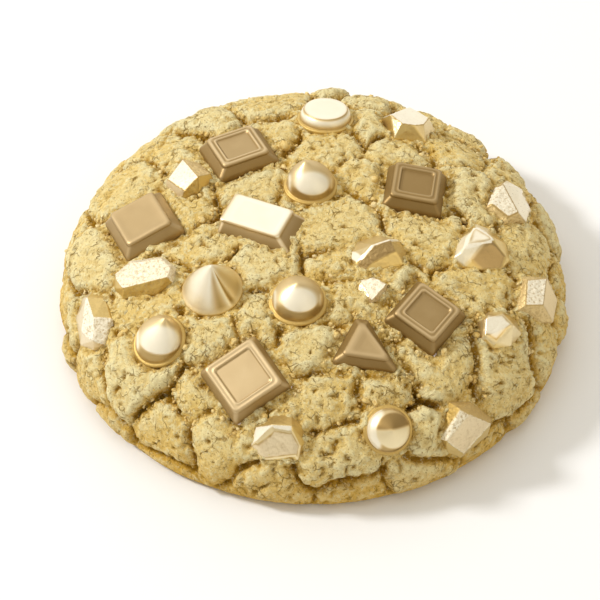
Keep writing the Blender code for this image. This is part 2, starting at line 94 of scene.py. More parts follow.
# Dough: what the solid is too coarse for
SHEET_CELLS = 306            # cells along each side of the sheet that becomes the crust
RAGGED = 1.0                 # how far the cracks' edges are frayed
RAGGED_REACH = 1.2           # distance from a crack over which the fraying dies out
FRAY_SIZE = 3.4
FINE_FRAY = 1.3              # size of a second, finer fraying
CREVICE_DEPTH = 1.2          # the sharp bottom of a crack
CREVICE_WIDTH = 0.65
CRACK_FILL = 0.5             # rubble that fills the cracks
CLOT_SIZE = 2.6              # small clots that each lump is made of
CLOT_HEIGHT = 0.75
CLOT_WANDER = 0.5            # how far a noise moves the clots
CLOT_SCATTER = 0.45          # how far a clot lies from the middle of its cell at most
CLOT_FALL = 1.6              # how steeply a clot falls away round its middle
SPLIT_DEPTH = 0.9            # thin splits across the lumps
SPLIT_SIZE = 5.5
SPLIT_WIDTH = 0.06
SPLIT_GAP = 3.0              # splits break off over about this distance
RUBBLE_HEIGHT = 0.65         # granular bottoms of the cracks
RUBBLE_SIZE = 1.3
GRAIN_HEIGHT = 0.22
GRAIN_SIZE = 0.9
PIT_DEPTH = 0.6
PIT_SIZE = 1.3
PIT_SHARE = 0.44             # noise below minus this is a pit
FLOOR_SIZE = 5.0             # a valley's floor rises and falls over about this distance
FLOOR_LIMITS = (0.35, 1.1)   # the least and the most of its depth that it has
FLOOR_CRUMB = 0.55           # how crumbly it is
RELIEF_CELLS = 9             # what stands out of the mean of this many cells is relief
HOLLOW_CELLS = 5

# Dough: its browning low down, which is partly painted gold light bounced from below, and its
# loose crumbs
# Below this height the crust browns and carries painted gold light bounced from below
TOAST_AND_BOUNCE_HEIGHT = 15.0        # the crust browns below this
CRUMB_TRIES = 11000
CRUMB_SIZE = 0.55
CRUMB_REACH = 0.8            # crumbs lie on this share of the section, out from the top
CRUMB_ROWS = 3
CRUMB_SIDES = 6
CRUMB_NEED = (0.1, 1.1)      # how crumbly each one, somewhere in this range, needs the crust
CRUMB_SPREAD = 0.4           # of the logarithm of their sizes
CRUMB_STRETCH = (0.6, 1.4)
CRUMB_MARGIN = 0.5           # crumbs keep this far from a seat's foot

# Chocolate
BURIED = 3.0
TABLET_HEIGHT = 2.4
EDGE_SOFTNESS = 0.35
PANEL_MARGIN = 1.15
PANEL_DEPTH = 0.4
EDGE_ROUND = 0.6
CORNER_ROUND = 0.8           # radius of a tablet's upright corners
TRIANGLE_NEAR = 0.36         # share of a triangle's depth that lies before its middle
BAR_SHIFT = (1.3, -0.5)      # how far the bar's face lies back from the middle of its foot
CORNER_LIMIT = 0.7           # of the room there, which the round of a corner takes up at most
DROP_SIDES = 16
FOOT_SHARE = 0.86            # of the radius, at a drop's buried end
POOL_LEVEL = -1.1            # height of the melted pools on their seats
POOL_MARGIN = 0.3            # how far outside a tablet's foot their outline runs
POOL_CORNER = 1.2
FRONT_UP = (0.76, 0.65)      # what (y, z) adds to a place's height, seen from front and above
TABLET_SWELL = (0.05, 4.0)   # height and size of the waves in a tablet's surface
DROP_SWELL = (0.06, 3.5)
CHUNK_SWELL = (0.05, 3.0)
COARSE_BREAK = (0.16, 1.1)   # height and size of a broken face's two grains
FINE_BREAK = (0.12, 0.6)

Valley = namedtuple("Valley", "width depth")
TABLET_VALLEY = Valley(3.2, 1.3)
BAR_VALLEY = Valley(2.2, 0.2)
DROP_VALLEY = Valley(2.0, 0.8)
CHUNK_VALLEY = Valley(1.8, 0.5)

Seat = namedtuple("Seat", "name x y turn foot valley")

# Stage, in metres and degrees, with the camera's lens and sensor in millimetres
FLOOR_SIDE = 4.0
WARM_WHITE = (1.0, 0.98, 0.95)
WORLD_COLOUR = (1.0, 0.92, 0.77, 1.0)
WORLD_STRENGTH = 0.57
CAMERA_LENS = 209.3
CAMERA_SENSOR = 36.0
CAMERA_PLACE = (-0.00262, -0.45210, 0.53229)
CAMERA_TILT = 40.5


# ---------------------------------------------------------------- dome

def dome_section():
    """Radius, height and arc length along a superellipse from the top to the widest ring,
    and along a quarter ellipse from there to the underside's rim."""
    turn = np.linspace(0.0, math.pi / 2, PROFILE_STEPS)
    power = 2.0 / DOME_POWER
    upper_r = COOKIE_RADIUS * np.sin(turn) ** power
    upper_z = EDGE_HEIGHT + (COOKIE_HEIGHT - EDGE_HEIGHT) * np.cos(turn) ** power
    lower_r = BASE_RADIUS + (COOKIE_RADIUS - BASE_RADIUS) * np.cos(turn[1:])
    lower_z = EDGE_HEIGHT * (1.0 - np.sin(turn[1:]))
    radius = np.concatenate([upper_r, lower_r])
    height = np.concatenate([upper_z, lower_z])
    length = np.concatenate([[0.0], np.cumsum(np.hypot(np.diff(radius), np.diff(height)))])
    return radius, height, length


SECTION_R, SECTION_Z, SECTION_S = dome_section()


def dome_at(reach, angle):
    """Points and outward normals where the section has run a share, 0 to 1, of its length."""
    s = reach * SECTION_S[-1]
    radius = np.interp(s, SECTION_S, SECTION_R)
    height = np.interp(s, SECTION_S, SECTION_Z)
    rise = np.interp(s, SECTION_S, np.gradient(SECTION_Z, SECTION_S))
    run = np.interp(s, SECTION_S, np.gradient(SECTION_R, SECTION_S))
    steep = np.hypot(rise, run)
    points = np.stack([radius * np.cos(angle), radius * np.sin(angle), height], axis=-1)
    out = -rise / steep
    normals = np.stack([out * np.cos(angle), out * np.sin(angle), run / steep], axis=-1)
    return points, normals


def dome_over(x, y):
    """Point and normal of the dome above a place on the base."""
    above = SECTION_Z >= EDGE_HEIGHT
    reach = np.interp(math.hypot(x, y), SECTION_R[above], SECTION_S[above]) / SECTION_S[-1]
    return dome_at(reach, math.atan2(y, x))


def crust_frame(x, y, turn):
    """Origin on the dome, and axes whose z leaves it at right angles, turned about that z."""
    point, normal = dome_over(x, y)
    upright = Vector((0.0, 0.0, 1.0)).rotation_difference(Vector(normal)).to_matrix()
    spin = math.radians(turn)
    turned = np.array([(math.cos(spin), -math.sin(spin), 0.0),
                       (math.sin(spin), math.cos(spin), 0.0), (0.0, 0.0, 1.0)])
    return point, np.array(upright) @ turned


def seen_from(seat, points):
    """The points in a seat's own frame."""
    origin, axes = crust_frame(seat.x, seat.y, seat.turn)
    return (points - origin) @ axes


def placed(seat, points):
    """Points of a seat's own frame, as they lie on the cookie."""
    origin, axes = crust_frame(seat.x, seat.y, seat.turn)
    return points @ axes.T + origin


# ---------------------------------------------------------------- noise

def make_noise_table(rng):
    """Random slopes at the corners of a cubic lattice that repeats."""
    return rng.uniform(-1.0, 1.0, (NOISE_TABLE, NOISE_TABLE, NOISE_TABLE, 3))


def noise(points, size, table):
    """Smooth noise of about -1 to 1: each lattice corner's slope gives a tilted plane, and the
    eight planes round a point are blended with a cubic ease."""
    scaled = points / size
    cell = np.floor(scaled).astype(int)
    part = scaled - cell
    blend = part * part * (3.0 - 2.0 * part)
    total = np.zeros(len(points))
    for corner in itertools.product((0, 1), repeat=3):
        slope = table[tuple(((cell + corner) % NOISE_TABLE).T)]
        plane = ((part - corner) * slope).sum(axis=1)
        weight = np.where(corner, blend, 1.0 - blend).prod(axis=1)
        total += plane * weight
    return total * NOISE_GAIN


def swell(points, wave, table):
    """Noise of a (height, size)."""
    height, size = wave
    return height * noise(points, size, table)


def clots(points, size, table):
    """Round clots heaped side by side, 1 on their tops and about 0 in the creases between.

    One clot's middle lies in each lattice cell, moved by the table, and the 27 cells round
    each place are searched for the nearest.  Height falls by the square of its distance."""
    scaled = points / size
    cell = np.floor(scaled).astype(int)
    away = np.full(len(points), np.inf)
    for step in itertools.product((-1, 0, 1), repeat=3):
        near = cell + step
        middle = near + 0.5 + CLOT_SCATTER * table[tuple((near % NOISE_TABLE).T)]
        away = np.minimum(away, ((scaled - middle) ** 2).sum(axis=1))
    return 1.0 - CLOT_FALL * away


def ease(share):
    """Smooth rise from 0 to 1 while share goes from 0 to 1."""
    held = np.clip(share, 0.0, 1.0)
    return held * held * (3.0 - 2.0 * held)


def blend(first, second, share):
    """first where share is 0, second where it is 1."""
    return first + (second - first) * share


# ---------------------------------------------------------------- seats of the chocolate

def oblong(length, width):
    """Corners of a rectangle about the origin, anticlockwise."""
    return np.array([(-1, -1), (1, -1), (1, 1), (-1, 1)]) * (length / 2, width / 2)


def blunt_triangle(width, depth, tip, lean):
    """Corners of a triangle whose far corner leans along x and is cut to a short edge."""
    near, far = -TRIANGLE_NEAR * depth, (1.0 - TRIANGLE_NEAR) * depth
    return np.array([(-width / 2, near), (width / 2, near), (lean + tip / 2, far),
                     (lean - tip / 2, far)])


def round_foot(radius):
    """Corners of a drop's many-sided foot."""
    angle = np.arange(DROP_SIDES) * 2 * math.pi / DROP_SIDES
    return radius * np.stack([np.cos(angle), np.sin(angle)], axis=-1)


def solid_corners(name):
    """The three corners, in millimetres, of every triangle of a CAD node: (triangle, 3, 3)."""
    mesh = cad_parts[name].data
    mesh.calc_loop_triangles()
    corners = np.empty(len(mesh.vertices) * 3)
    mesh.vertices.foreach_get("co", corners)
    triangles = np.empty(len(mesh.loop_triangles) * 3, dtype=np.int32)
    mesh.loop_triangles.foreach_get("vertices", triangles)
    return (corners.reshape(-1, 3) / MM)[triangles.reshape(-1, 3)]


def chunk_seat(name, x, y):
    """Seat of a broken chunk, whose foot is the lowest ring of its CAD node."""
    bare = Seat(name, x, y, 0.0, None, CHUNK_VALLEY)
    local = seen_from(bare, solid_corners(name).reshape(-1, 3))
    lowest = local[:, 2] < -BURIED + EDGE_SOFTNESS
    foot = np.unique(local[lowest, :2].round(2), axis=0)
    out = foot - foot.mean(axis=0)
    foot = foot[np.arctan2(out[:, 1], out[:, 0]).argsort()]
    return bare._replace(foot=foot)


def make_seats():
    """Where every piece of chocolate sits in the crust, by its name, in the solid's order."""
    large, small = oblong(12.8, 12.8), oblong(11.8, 11.8)
    tablets = (
        ("tablet_back_left", -14.8, 20.9, -67, oblong(12, 13)),
        ("tablet_left", -33.3, 3.5, -66, large),
        ("tablet_front", -13.1, -34.4, -58, large),
        ("tablet_right", 21.4, -20.9, -35, small),
        ("tablet_back_right", 20.0, 10.7, -8, small),
        ("tablet_triangle", 10.2, -29.0, -6, blunt_triangle(13.4, 10.2, 2.4, -1.8)),
        ("bar_middle", -9.9, 0.2, -24, oblong(15.4, 9.8)),
    )
    drops = (
        ("button_back", 2.5, 32.0, 0, 5.7), ("drop_back", -0.5, 11.0, 150, 5.4),
        ("drop_left_pleated", -19.5, -15.0, 0, 6.0), ("drop_middle", -3.0, -18.5, 90, 5.7),
        ("drop_left", -29.5, -24.5, 32, 5.4), ("drop_front", 14.0, -42.8, 0, 4.8),
    )
    chunks = (
        ("chunk_back_left", -24.5, 15.0), ("chunk_back_right", 19.0, 31.5),
        ("chunk_middle", 12.5, -7.0), ("chunk_small", 11.5, -16.0),
        ("chunk_right_back", 39.0, 12.5), ("chunk_right_edge", 43.0, -10.0),
        ("chunk_front_right", 29.0, -39.0), ("chunk_left", -33.0, -10.5),
        ("chunk_left_edge", -43.5, -15.0), ("chunk_front", -6.5, -44.5),
        ("chunk_right", 32.5, -2.5), ("chunk_right_front", 36.0, -20.5),
    )
    seats = [Seat(*row, TABLET_VALLEY) for row in tablets[:-1]]
    seats += [Seat(*tablets[-1], BAR_VALLEY)]
    seats += [Seat(*row[:4], round_foot(row[4]), DROP_VALLEY) for row in drops]
    seats += [chunk_seat(*row) for row in chunks]
    return {seat.name: seat for seat in seats}


def edge_normals(corners):
    """Outward normal of the edge that starts at each corner of an anticlockwise outline."""
    along = np.roll(corners, -1, axis=0) - corners
    return np.column_stack([along[:, 1], -along[:, 0]]) / np.linalg.norm(along, axis=1)[:, None]


def outline_distance(places, foot):
    """Distance of (x, y) rows outside a convex anticlockwise outline, negative inside it."""
    outward = edge_normals(foot)
    return (places @ outward.T - (outward * foot).sum(axis=1)).max(axis=1)


def beside(seat, points):
    """How far points lie outside a seat's foot, and how far above its plane."""
    local = seen_from(seat, points)
    return outline_distance(local[:, :2], seat.foot), local[:, 2]


# ---------------------------------------------------------------- crags

def lump_middles(seats, rng):
    """The large lumps, then a spiral of tries that keeps each one with room round it.

    Gives their middles on the dome and how much wider than others each one grows."""
    middles = [dome_over(x, y)[0] for x, y, _ in LUMPS]
    widths = [width for _, _, width in LUMPS]
    reach = np.sqrt((np.arange(FILL_TRIES) + 0.5) / FILL_TRIES)
    angle = np.arange(FILL_TRIES) * math.pi * (3.0 - math.sqrt(5.0))
    tries = dome_at(reach, angle)[0] + rng.normal(0.0, FILL_SCATTER, (FILL_TRIES, 3))
    rng.shuffle(tries)
    crowded = np.zeros(FILL_TRIES, dtype=bool)
    for seat in seats:
        gap, above = beside(seat, tries)
        crowded |= (gap < SEAT_MARGIN) & (above > -SEAT_ABOVE)
    for middle in tries[~crowded]:
        room = np.linalg.norm(np.array(middles) - middle, axis=1) - np.array(widths)
        if room.min() > LUMP_SPACING:
            middles.append(middle)
            widths.append(rng.uniform(*FILL_WIDTHS))
    return np.array(middles), np.array(widths)


class Crags:
    """The crust's relief: the solid's own lumps and cracks, and the finer crumb on them."""

    def __init__(self, seats):
        rng = np.random.default_rng(SEED)
        self.seats = seats
        self.tables = [make_noise_table(rng) for _ in range(5)]
        self.middles, self.widths = lump_middles(seats, rng)
        self.steps = rng.uniform(-STEP_HEIGHT, STEP_HEIGHT, len(self.middles))
        self.fine = [make_noise_table(rng) for _ in range(6)]

    def seam(self, points):
        """Nearest lump, and how much nearer it is than the next: 0 in the middle of a crack."""
        wander = np.column_stack([noise(points, WARP_SIZE, table) for table in self.tables[:3]])
        warped = points + WARP_REACH * wander
        away = np.linalg.norm(warped[:, None, :] - self.middles[None, :, :], axis=2)
        away -= self.widths
        pair = np.partition(away, 1, axis=1)
        return away.argmin(axis=1), pair[:, 1] - pair[:, 0]

    def frayed(self, points, seam):
        """The seam with its line frayed by a small noise, least where it is far away."""
        fray = noise(points, FRAY_SIZE, self.fine[4])
        fray += 0.6 * noise(points, FINE_FRAY, self.fine[5])
        return np.abs(seam + RAGGED * fray * np.exp(-seam / RAGGED_REACH))

    def heights(self, points):
        """How far the crust stands out of the smooth dome, and how crumbly it is, 0 to 1.

        The two nearest lumps decide it.  Where they are equally near there is a crack, here
        deep and there almost closed, and away from it the lump rises in a crown, on a step of
        its own.  Thin splits follow the zero line of a noise, rubble fills the cracks, and
        grain and pits cover everything.  Round each seat the crags sink into a valley, and
        towards the underside they die out.
        """
        nearest, seam = self.seam(points)
        opened = CRACK_SHARE + CRACK_SWING * noise(points, CRACK_PATCH, self.tables[3])
        opened = np.clip(opened, *CRACK_LIMITS)
        height = CROWN_HEIGHT * (1.0 - opened * np.exp(-seam / CROWN_WIDTH)) - CROWN_SINK
        ragged = self.frayed(points, seam)
        crack = np.exp(-(ragged / CRACK_WIDTH) ** 2)
        crumbly = np.minimum(opened, 1.0) * crack
        height -= opened * (CRACK_DEPTH - CRACK_FILL) * crack
        height -= opened * CREVICE_DEPTH * np.exp(-(ragged / CREVICE_WIDTH) ** 2)
        height += self.steps[nearest] * ease(seam / CROWN_WIDTH)
        height += BUMP_HEIGHT * noise(points, BUMP_SIZE, self.tables[4])
        uneven = np.clip(0.75 + 0.6 * noise(points, FLOOR_SIZE, self.fine[1]), *FLOOR_LIMITS)
        for seat in self.seats:
            gap, above = beside(seat, points)
            sunk = ease(1.0 - gap / seat.valley.width) * (above > -SEAT_DEPTH)
            height = height * (1.0 - sunk) - seat.valley.depth * sunk * uneven
            crumbly = np.maximum(crumbly, FLOOR_CRUMB * sunk)
        height += self.crumb(points, crumbly)
        return height * ease(points[:, 2] / FADE_HEIGHT), crumbly

    def crumb(self, points, crumbly):
        """The fine relief: clots of two sizes, splits, grain and pits."""
        where = ease(0.5 + 1.6 * noise(points, 2.0 * SPLIT_SIZE, self.fine[1]))
        wander = CLOT_WANDER * noise(points, CLOT_SIZE, self.fine[2])[:, None]
        height = CLOT_HEIGHT * clots(points + wander, CLOT_SIZE, self.fine[0])
        height *= 0.14 + 0.28 * where + crumbly
        rubble = RUBBLE_HEIGHT * clots(points - wander, RUBBLE_SIZE, self.fine[2])
        height += rubble * (0.22 + crumbly)
        split = noise(points, SPLIT_SIZE, self.fine[0])
        split += 0.12 * noise(points, FINE_FRAY, self.fine[5])
        broken = ease(3.0 * noise(points, SPLIT_GAP, self.fine[1]))
        height -= SPLIT_DEPTH * where * broken * np.exp(-(split / SPLIT_WIDTH) ** 2)
        height += GRAIN_HEIGHT * noise(points, GRAIN_SIZE, self.fine[3])
        pits = ease((-noise(points, PIT_SIZE, self.fine[4]) - PIT_SHARE) * 4.0)
        return height - PIT_DEPTH * pits


# ---------------------------------------------------------------- meshes and pieces

def make_mesh(name, points, *faces):
    """Smooth-shaded mesh of points in millimetres and of arrays of faces' corners."""
    mesh = bpy.data.meshes.new(name)
    corners = [row for part in faces for row in part.tolist()]
    mesh.from_pydata((points * MM).tolist(), [], corners, shade_flat=False)
    return mesh


def store(mesh, name, values):
    """Keep one number for each point of the mesh, for its material to read."""
    layer = mesh.attributes.new(name, "FLOAT", "POINT")
    layer.data.foreach_set("value", np.asarray(values, dtype=np.float32))


def ball_rings(rows, columns, squash=1.0):
    """Points of the rings of a ball of radius 1 between its poles, lowest first, their height
    multiplied by squash."""
    tilt, angle = np.meshgrid(np.linspace(-0.5, 0.5, rows + 2)[1:-1] * math.pi,
                              np.arange(columns) * 2 * math.pi / columns, indexing="ij")
    across = np.cos(tilt)
    return np.stack([across * np.cos(angle), across * np.sin(angle), squash * np.sin(tilt)],
                    axis=-1).reshape(-1, 3)


def closed_faces(rows, columns):
    """Faces of stacked closed rings, lowest first and each anticlockwise: four-cornered ones
    between the rings, and a fan of triangles over each end round a point of its own, the two
    that follow the points of the rings."""
    index = np.arange(rows * columns).reshape(rows, columns)
    after = np.roll(index, -1, axis=1)
    sides = np.stack([index[:-1], after[:-1], after[1:], index[1:]], axis=-1).reshape(-1, 4)
    under = np.column_stack([after[0], index[0], np.full(columns, rows * columns)])
    over = np.column_stack([index[-1], after[-1], np.full(columns, rows * columns + 1)])
    return sides, np.vstack([under, over])


def closed_rings(name, rings):
    """Closed surface through stacked rings (row, column, xyz), lowest first.  The first and
    the last ring are each closed by a fan of triangles round their middle."""
    points = np.vstack([rings.reshape(-1, 3), rings[0].mean(axis=0), rings[-1].mean(axis=0)])
    return make_mesh(name, points, *closed_faces(*rings.shape[:2]))


def add_object(name, data):
    """A new object at the origin of the scene."""
    made = bpy.data.objects.new(name, data)
    bpy.context.scene.collection.objects.link(made)
    return made


def add_piece(name, mesh, material, slot, *replaced):
    """One piece of the cookie, with its material, body and the nodes it stands for; its slot is
    not used.
    """
    mesh.materials.append(material)
    piece = add_object(name, mesh)
    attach(piece, "root")
    if replaced:
        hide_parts(*replaced)


# ---------------------------------------------------------------- dough

def square_to_disc(a, b):
    """Reach and angle of the disc that a square of -1 to 1 is squeezed into.

    Each ring of the square becomes a circle, its corners on the diagonals."""
    flat = np.abs(a) > np.abs(b)
    reach = np.where(flat, np.abs(a), np.abs(b))
    safe_a = np.where(flat, a, 1.0)
    safe_b = np.where(flat | (b == 0), 1.0, b)
    angle = np.where(flat, math.pi / 4 * b / safe_a, math.pi / 2 - math.pi / 4 * a / safe_b)
    backwards = np.where(flat, a < 0, b < 0)
    return reach, angle + math.pi * backwards


def blurred(sheet, cells):
    """The sheet averaged over a square of cells, along one side and then the other."""
    window = np.ones(cells) / cells
    for axis in (0, 1):
        pad = [(cells // 2, cells // 2) if k == axis else (0, 0) for k in (0, 1)]
        padded = np.pad(sheet, pad, mode="edge")
        sheet = np.apply_along_axis(np.convolve, axis, padded, window, mode="valid")
    return sheet


def dough_mesh(crags):
    """The crust as a square sheet squeezed onto the dome and pushed out by the crags, closed
    by a fan of triangles round the middle of the flat underside."""
    side = SHEET_CELLS + 1
    across = np.linspace(-1.0, 1.0, side)
    b, a = (axis.ravel() for axis in np.meshgrid(across, across, indexing="ij"))
    points, normals = dome_at(*square_to_disc(a, b))
    height, crumbly = crags.heights(points)
    points = points + normals * height[:, None]
    index = np.arange(side * side).reshape(side, side)
    faces = np.stack([index[:-1, :-1], index[:-1, 1:], index[1:, 1:], index[1:, :-1]], axis=-1)
    rim = np.concatenate([index[0, :-1], index[:-1, -1], index[-1, :0:-1], index[:0:-1, 0]])
    points[rim, 2] = 0.0
    points[:, 2] = np.maximum(points[:, 2], 0.0)
    middle = np.full(len(rim), side * side)
    under = np.column_stack([np.roll(rim, -1), rim, middle])
    mesh = make_mesh("dough_crust", np.vstack([points, np.zeros(3)]), faces.reshape(-1, 4), under)
    sheet = height.reshape(side, side)
    store(mesh, "relief", np.append((sheet - blurred(sheet, RELIEF_CELLS)).ravel(), 0.0))
    store(mesh, "hollow", np.append(blurred(sheet, HOLLOW_CELLS).ravel(), 0.0))
    store(mesh, "crumbly", np.append(crumbly, 0.0))
    # Browner low down: toasting and painted gold light bounced from below
    store(mesh, "toasted", np.append(ease(1.0 - points[:, 2] / TOAST_AND_BOUNCE_HEIGHT), 1.0))
    return mesh


# ---------------------------------------------------------------- tablets

ARC_STEPS = 7
SIDE_STEPS = 12
# The tablets' lightness is painted light and shade: painted shade on the sides, lightening
# upwards, and a painted highlight on the upright corners and round the edge
PAINTED_CORNER_HIGHLIGHT = 0.5           # how much lighter the upright corners are
CORNER_BELOW = 0.6           # on the rings that are darker than this
SHADED_SIDE_TOP_LIGHTNESS = 0.3             # lightness where the sides end and the edge begins
DARK_BELOW = 0.5             # tone of a face from which a tablet counts as light chocolate
PALE_ABOVE = 0.9             # and as pale


def lifted(outline, height):
    """The outline's (x, y) rows with one height added to all."""
    return np.column_stack([outline, np.full(len(outline), height)])


def drawn_in(corners, distance):
    """The outline with each of its edges moved inwards by the same distance."""
    out = edge_normals(corners)
    before = np.roll(out, 1, axis=0)
    mitre = (out + before) / (1.0 + (out * before).sum(axis=1))[:, None]
    return corners - mitre * distance


def rounded(corners, radius):
    """Points along the outline with its corners turned into arcs of the given radius.

    Each corner gives an arc about the point a radius inside both its edges, and each edge the
    same number of points, so that all outlines of one shape match point for point."""
    middles = drawn_in(corners, radius)
    out = edge_normals(corners)
    before = np.roll(out, 1, axis=0)
    start = np.arctan2(before[:, 1], before[:, 0])
    sweep = (np.arctan2(out[:, 1], out[:, 0]) - start) % (2 * math.pi)
    angle = start[:, None] + sweep[:, None] * np.linspace(0.0, 1.0, ARC_STEPS)
    arcs = middles[:, None] + radius * np.stack([np.cos(angle), np.sin(angle)], axis=-1)
    following = np.roll(arcs[:, 0], -1, axis=0)
    share = np.linspace(0.0, 1.0, SIDE_STEPS + 2)[1:-1, None]
    sides = arcs[:, -1:] * (1.0 - share) + following[:, None] * share
    return np.concatenate([arcs, sides], axis=1).reshape(-1, 2)


def tablet_levels(edge, rim):
    """Rows of (share from foot to face, distance inside it, height, corner radius, painted
    lightness from 0 on the sides to 1 on the face).

    The sides slope straight and their painted shade lightens upwards, and a quarter round
    with the edge's painted highlight leads onto the face or, where there is a rim, onto that.
    From the rim a small ridge with the same painted highlight and a round with painted shade
    lead down into the sunk panel; the rim's own lightness is painted light and shade too."""
    levels = [(0.0, 0.0, z, CORNER_ROUND, 0.0) for z in (-BURIED, -EDGE_SOFTNESS)]
    low = TABLET_HEIGHT - EDGE_ROUND
    for share in np.linspace(0.08, 0.9, 7):
        levels.append((share, 0.0, share * low / 0.95, CORNER_ROUND, SHADED_SIDE_TOP_LIGHTNESS * share))
    for turn in np.linspace(0.0, 1.0, 9) * math.pi / 2:
        inside = EDGE_ROUND * (1.0 - math.cos(turn)) - 0.25
        light = blend(SHADED_SIDE_TOP_LIGHTNESS, edge, math.sin(turn) ** 2)
        levels.append((1.0, inside, low + EDGE_ROUND * math.sin(turn), CORNER_ROUND, light))
    if rim:
        lip = PANEL_MARGIN
        flat = TABLET_HEIGHT - 0.1
        crest = TABLET_HEIGHT - 0.12 + 0.12 * edge ** 0.5
        drop = TABLET_HEIGHT - PANEL_DEPTH
        face = ((0.6, flat, 0.7, rim), (lip - 0.3, flat, 0.7, rim),
                (lip - 0.14, crest, 0.7, edge), (lip + 0.06, crest, 0.65, edge),
                (lip + 0.22, drop + 0.1, 0.6, 0.35), (lip + 0.36, drop, 0.55, 0.5),
                (lip + 0.55, drop + 0.02, 0.5, 0.9), (lip + 0.9, drop + 0.03, 0.4, 0.9),
                (lip + 2.0, drop + 0.05, 0.3, 0.9))
    else:
        face = ((0.75, TABLET_HEIGHT - 0.05, 0.8, 1.05), (1.1, TABLET_HEIGHT - 0.1, 0.7, 1.0),
                (1.8, TABLET_HEIGHT - 0.12, 0.5, 1.0), (2.6, TABLET_HEIGHT - 0.12, 0.3, 1.0))
    return levels + [(1.0, *row) for row in face]


def tablet_rings(foot, face, edge, rim):
    """Stacked outlines of a moulded tablet in its seat's frame, and the painted lightness of
    their points.

    The sides' upright corners carry a painted highlight and are lighter than the sides."""
    upright = np.sin(np.linspace(0.0, math.pi, ARC_STEPS))
    corner = np.tile(np.append(upright, np.zeros(SIDE_STEPS)), len(foot))
    rings, lights = [], []
    for share, inside, height, radius, light in tablet_levels(edge, rim):
        level = foot * (1.0 - share) + face * share
        room = -outline_distance(level.mean(axis=0)[None], level)[0]
        shortest = np.linalg.norm(np.roll(level, -1, axis=0) - level, axis=1).min()
        shrunk = max(1.0 - inside / room, 0.3)
        limit = CORNER_LIMIT * min(room, shortest) * shrunk
        rings.append(lifted(rounded(level * shrunk, min(radius, limit)), height))
        lights.append(light + PAINTED_CORNER_HIGHLIGHT * corner * (light < CORNER_BELOW))
    return np.array(rings), np.concatenate(lights)


def add_tablets(seats, tables, finish):
    """Seven moulded tablets: (name, face, tone of its face and of its sides, the darker sides'
    tone being painted shade, painted lightness of its edge, a highlight, and of the rim round
    its sunk panel, 0 without a panel)."""
    rows = (
        ("tablet_back_left", oblong(9.5, 9.4), 0.36, 0.1, 1.7, 0.45),
        ("tablet_left", oblong(10.2, 9.2), 0.38, 0.21, 1.3, 0),
        ("tablet_front", oblong(10.8, 10.5), 0.51, 0.17, 1.05, 0.97),
        ("tablet_right", oblong(9.2, 9.2), 0.27, 0.1, 2.1, 0.8),
        ("tablet_back_right", oblong(9, 9.4), 0.18, 0.1, 2.8, 0.9),
        ("tablet_triangle", blunt_triangle(8.8, 6.6, 0.9, -1.6), 0.33, 0.09, 1.4, 0),
        ("bar_middle", oblong(12, 7.3) - BAR_SHIFT, 0.97, 0.1, 1.0, 0),
    )
    for name, face, top, side, edge, rim in rows:
        seat = seats[name]
        rings, light = tablet_rings(seat.foot, face, edge, rim)
        points = rings.reshape(-1, 3)
        # Painted light and shade: tone from the sides' painted shade to the face's own tone
        tone = blend(side, top, light)
        points[:, 2] += swell(points, TABLET_SWELL, tables[0])
        mesh = closed_rings(name + "_moulded", placed(seat, points).reshape(rings.shape))
        store(mesh, "tone", np.append(tone, (side, top)))
        slot = "chocolate_dark" if top < DARK_BELOW else "chocolate_light"
        slot = "chocolate_pale" if top > PALE_ABOVE else slot
        add_piece(name + "_moulded", mesh, finish, slot, name)


# ---------------------------------------------------------------- drops

AROUND = 120

# Painted reflection on a round drop, in radii: middle and half size of the pale oval field
# of painted reflection, and place and width of the two pale streaks of painted highlight
FIELD_MIDDLE = 0.05
FIELD_SIZE = (0.58, 0.4)
LEFT_STREAK = (-0.77, 0.07)
RIGHT_STREAK = (0.75, 0.05)
FIELD_LEAN = 0.08            # how much the oval grows for each millimetre that the tip leans
# Tones of the painted reflection: pale in the field, gold-beige on the flanks, which also take
# painted gold reflection
FIELD_TONE = 0.96
FLANK_TONE = 0.66
FLANK_GILT = 0.35

# Top of the front drop: radius and middle, across, of its field of painted reflection and
# shade, (tone, gilt) of the field's near and far halves, and tone of the painted highlight
# border on its left
TOP_RADIUS = 3.6
TOP_MIDDLE = 0.6
NEAR_TOP = (0.86, 0.5)
FAR_TOP = (0.2, 0.1)
BORDER_TONE = 0.93

# Folds of the pleated drop: (direction in degrees, width, depth, change of tone, which is
# painted light and shade of the fold)
PLEATS = ((-92, 9, 0.015, 0.05), (-70, 12, -0.045, -0.45), (-50, 5, 0.03, 0.25),
          (-40, 5, -0.075, -0.65), (-5, 30, -0.02, -0.35))


def smooth_curve(rows, steps):
    """Catmull-Rom curve through rows of numbers, with the same number of steps in each span."""
    rows = np.array(rows, dtype=float)
    ends = np.vstack([2 * rows[0] - rows[1], rows, 2 * rows[-1] - rows[-2]])
    p0, p1, p2, p3 = ends[:-3, None], ends[1:-2, None], ends[2:-1, None], ends[3:, None]
    t = np.linspace(0.0, 1.0, steps, endpoint=False)[None, :, None]
    curve = 2 * p1 + (p2 - p0) * t + (2 * p0 - 5 * p1 + 4 * p2 - p3) * t ** 2
    curve = (curve + (3 * p1 - p0 - 3 * p2 + p3) * t ** 3) / 2
    return np.vstack([curve.reshape(-1, rows.shape[1]), rows[-1]])


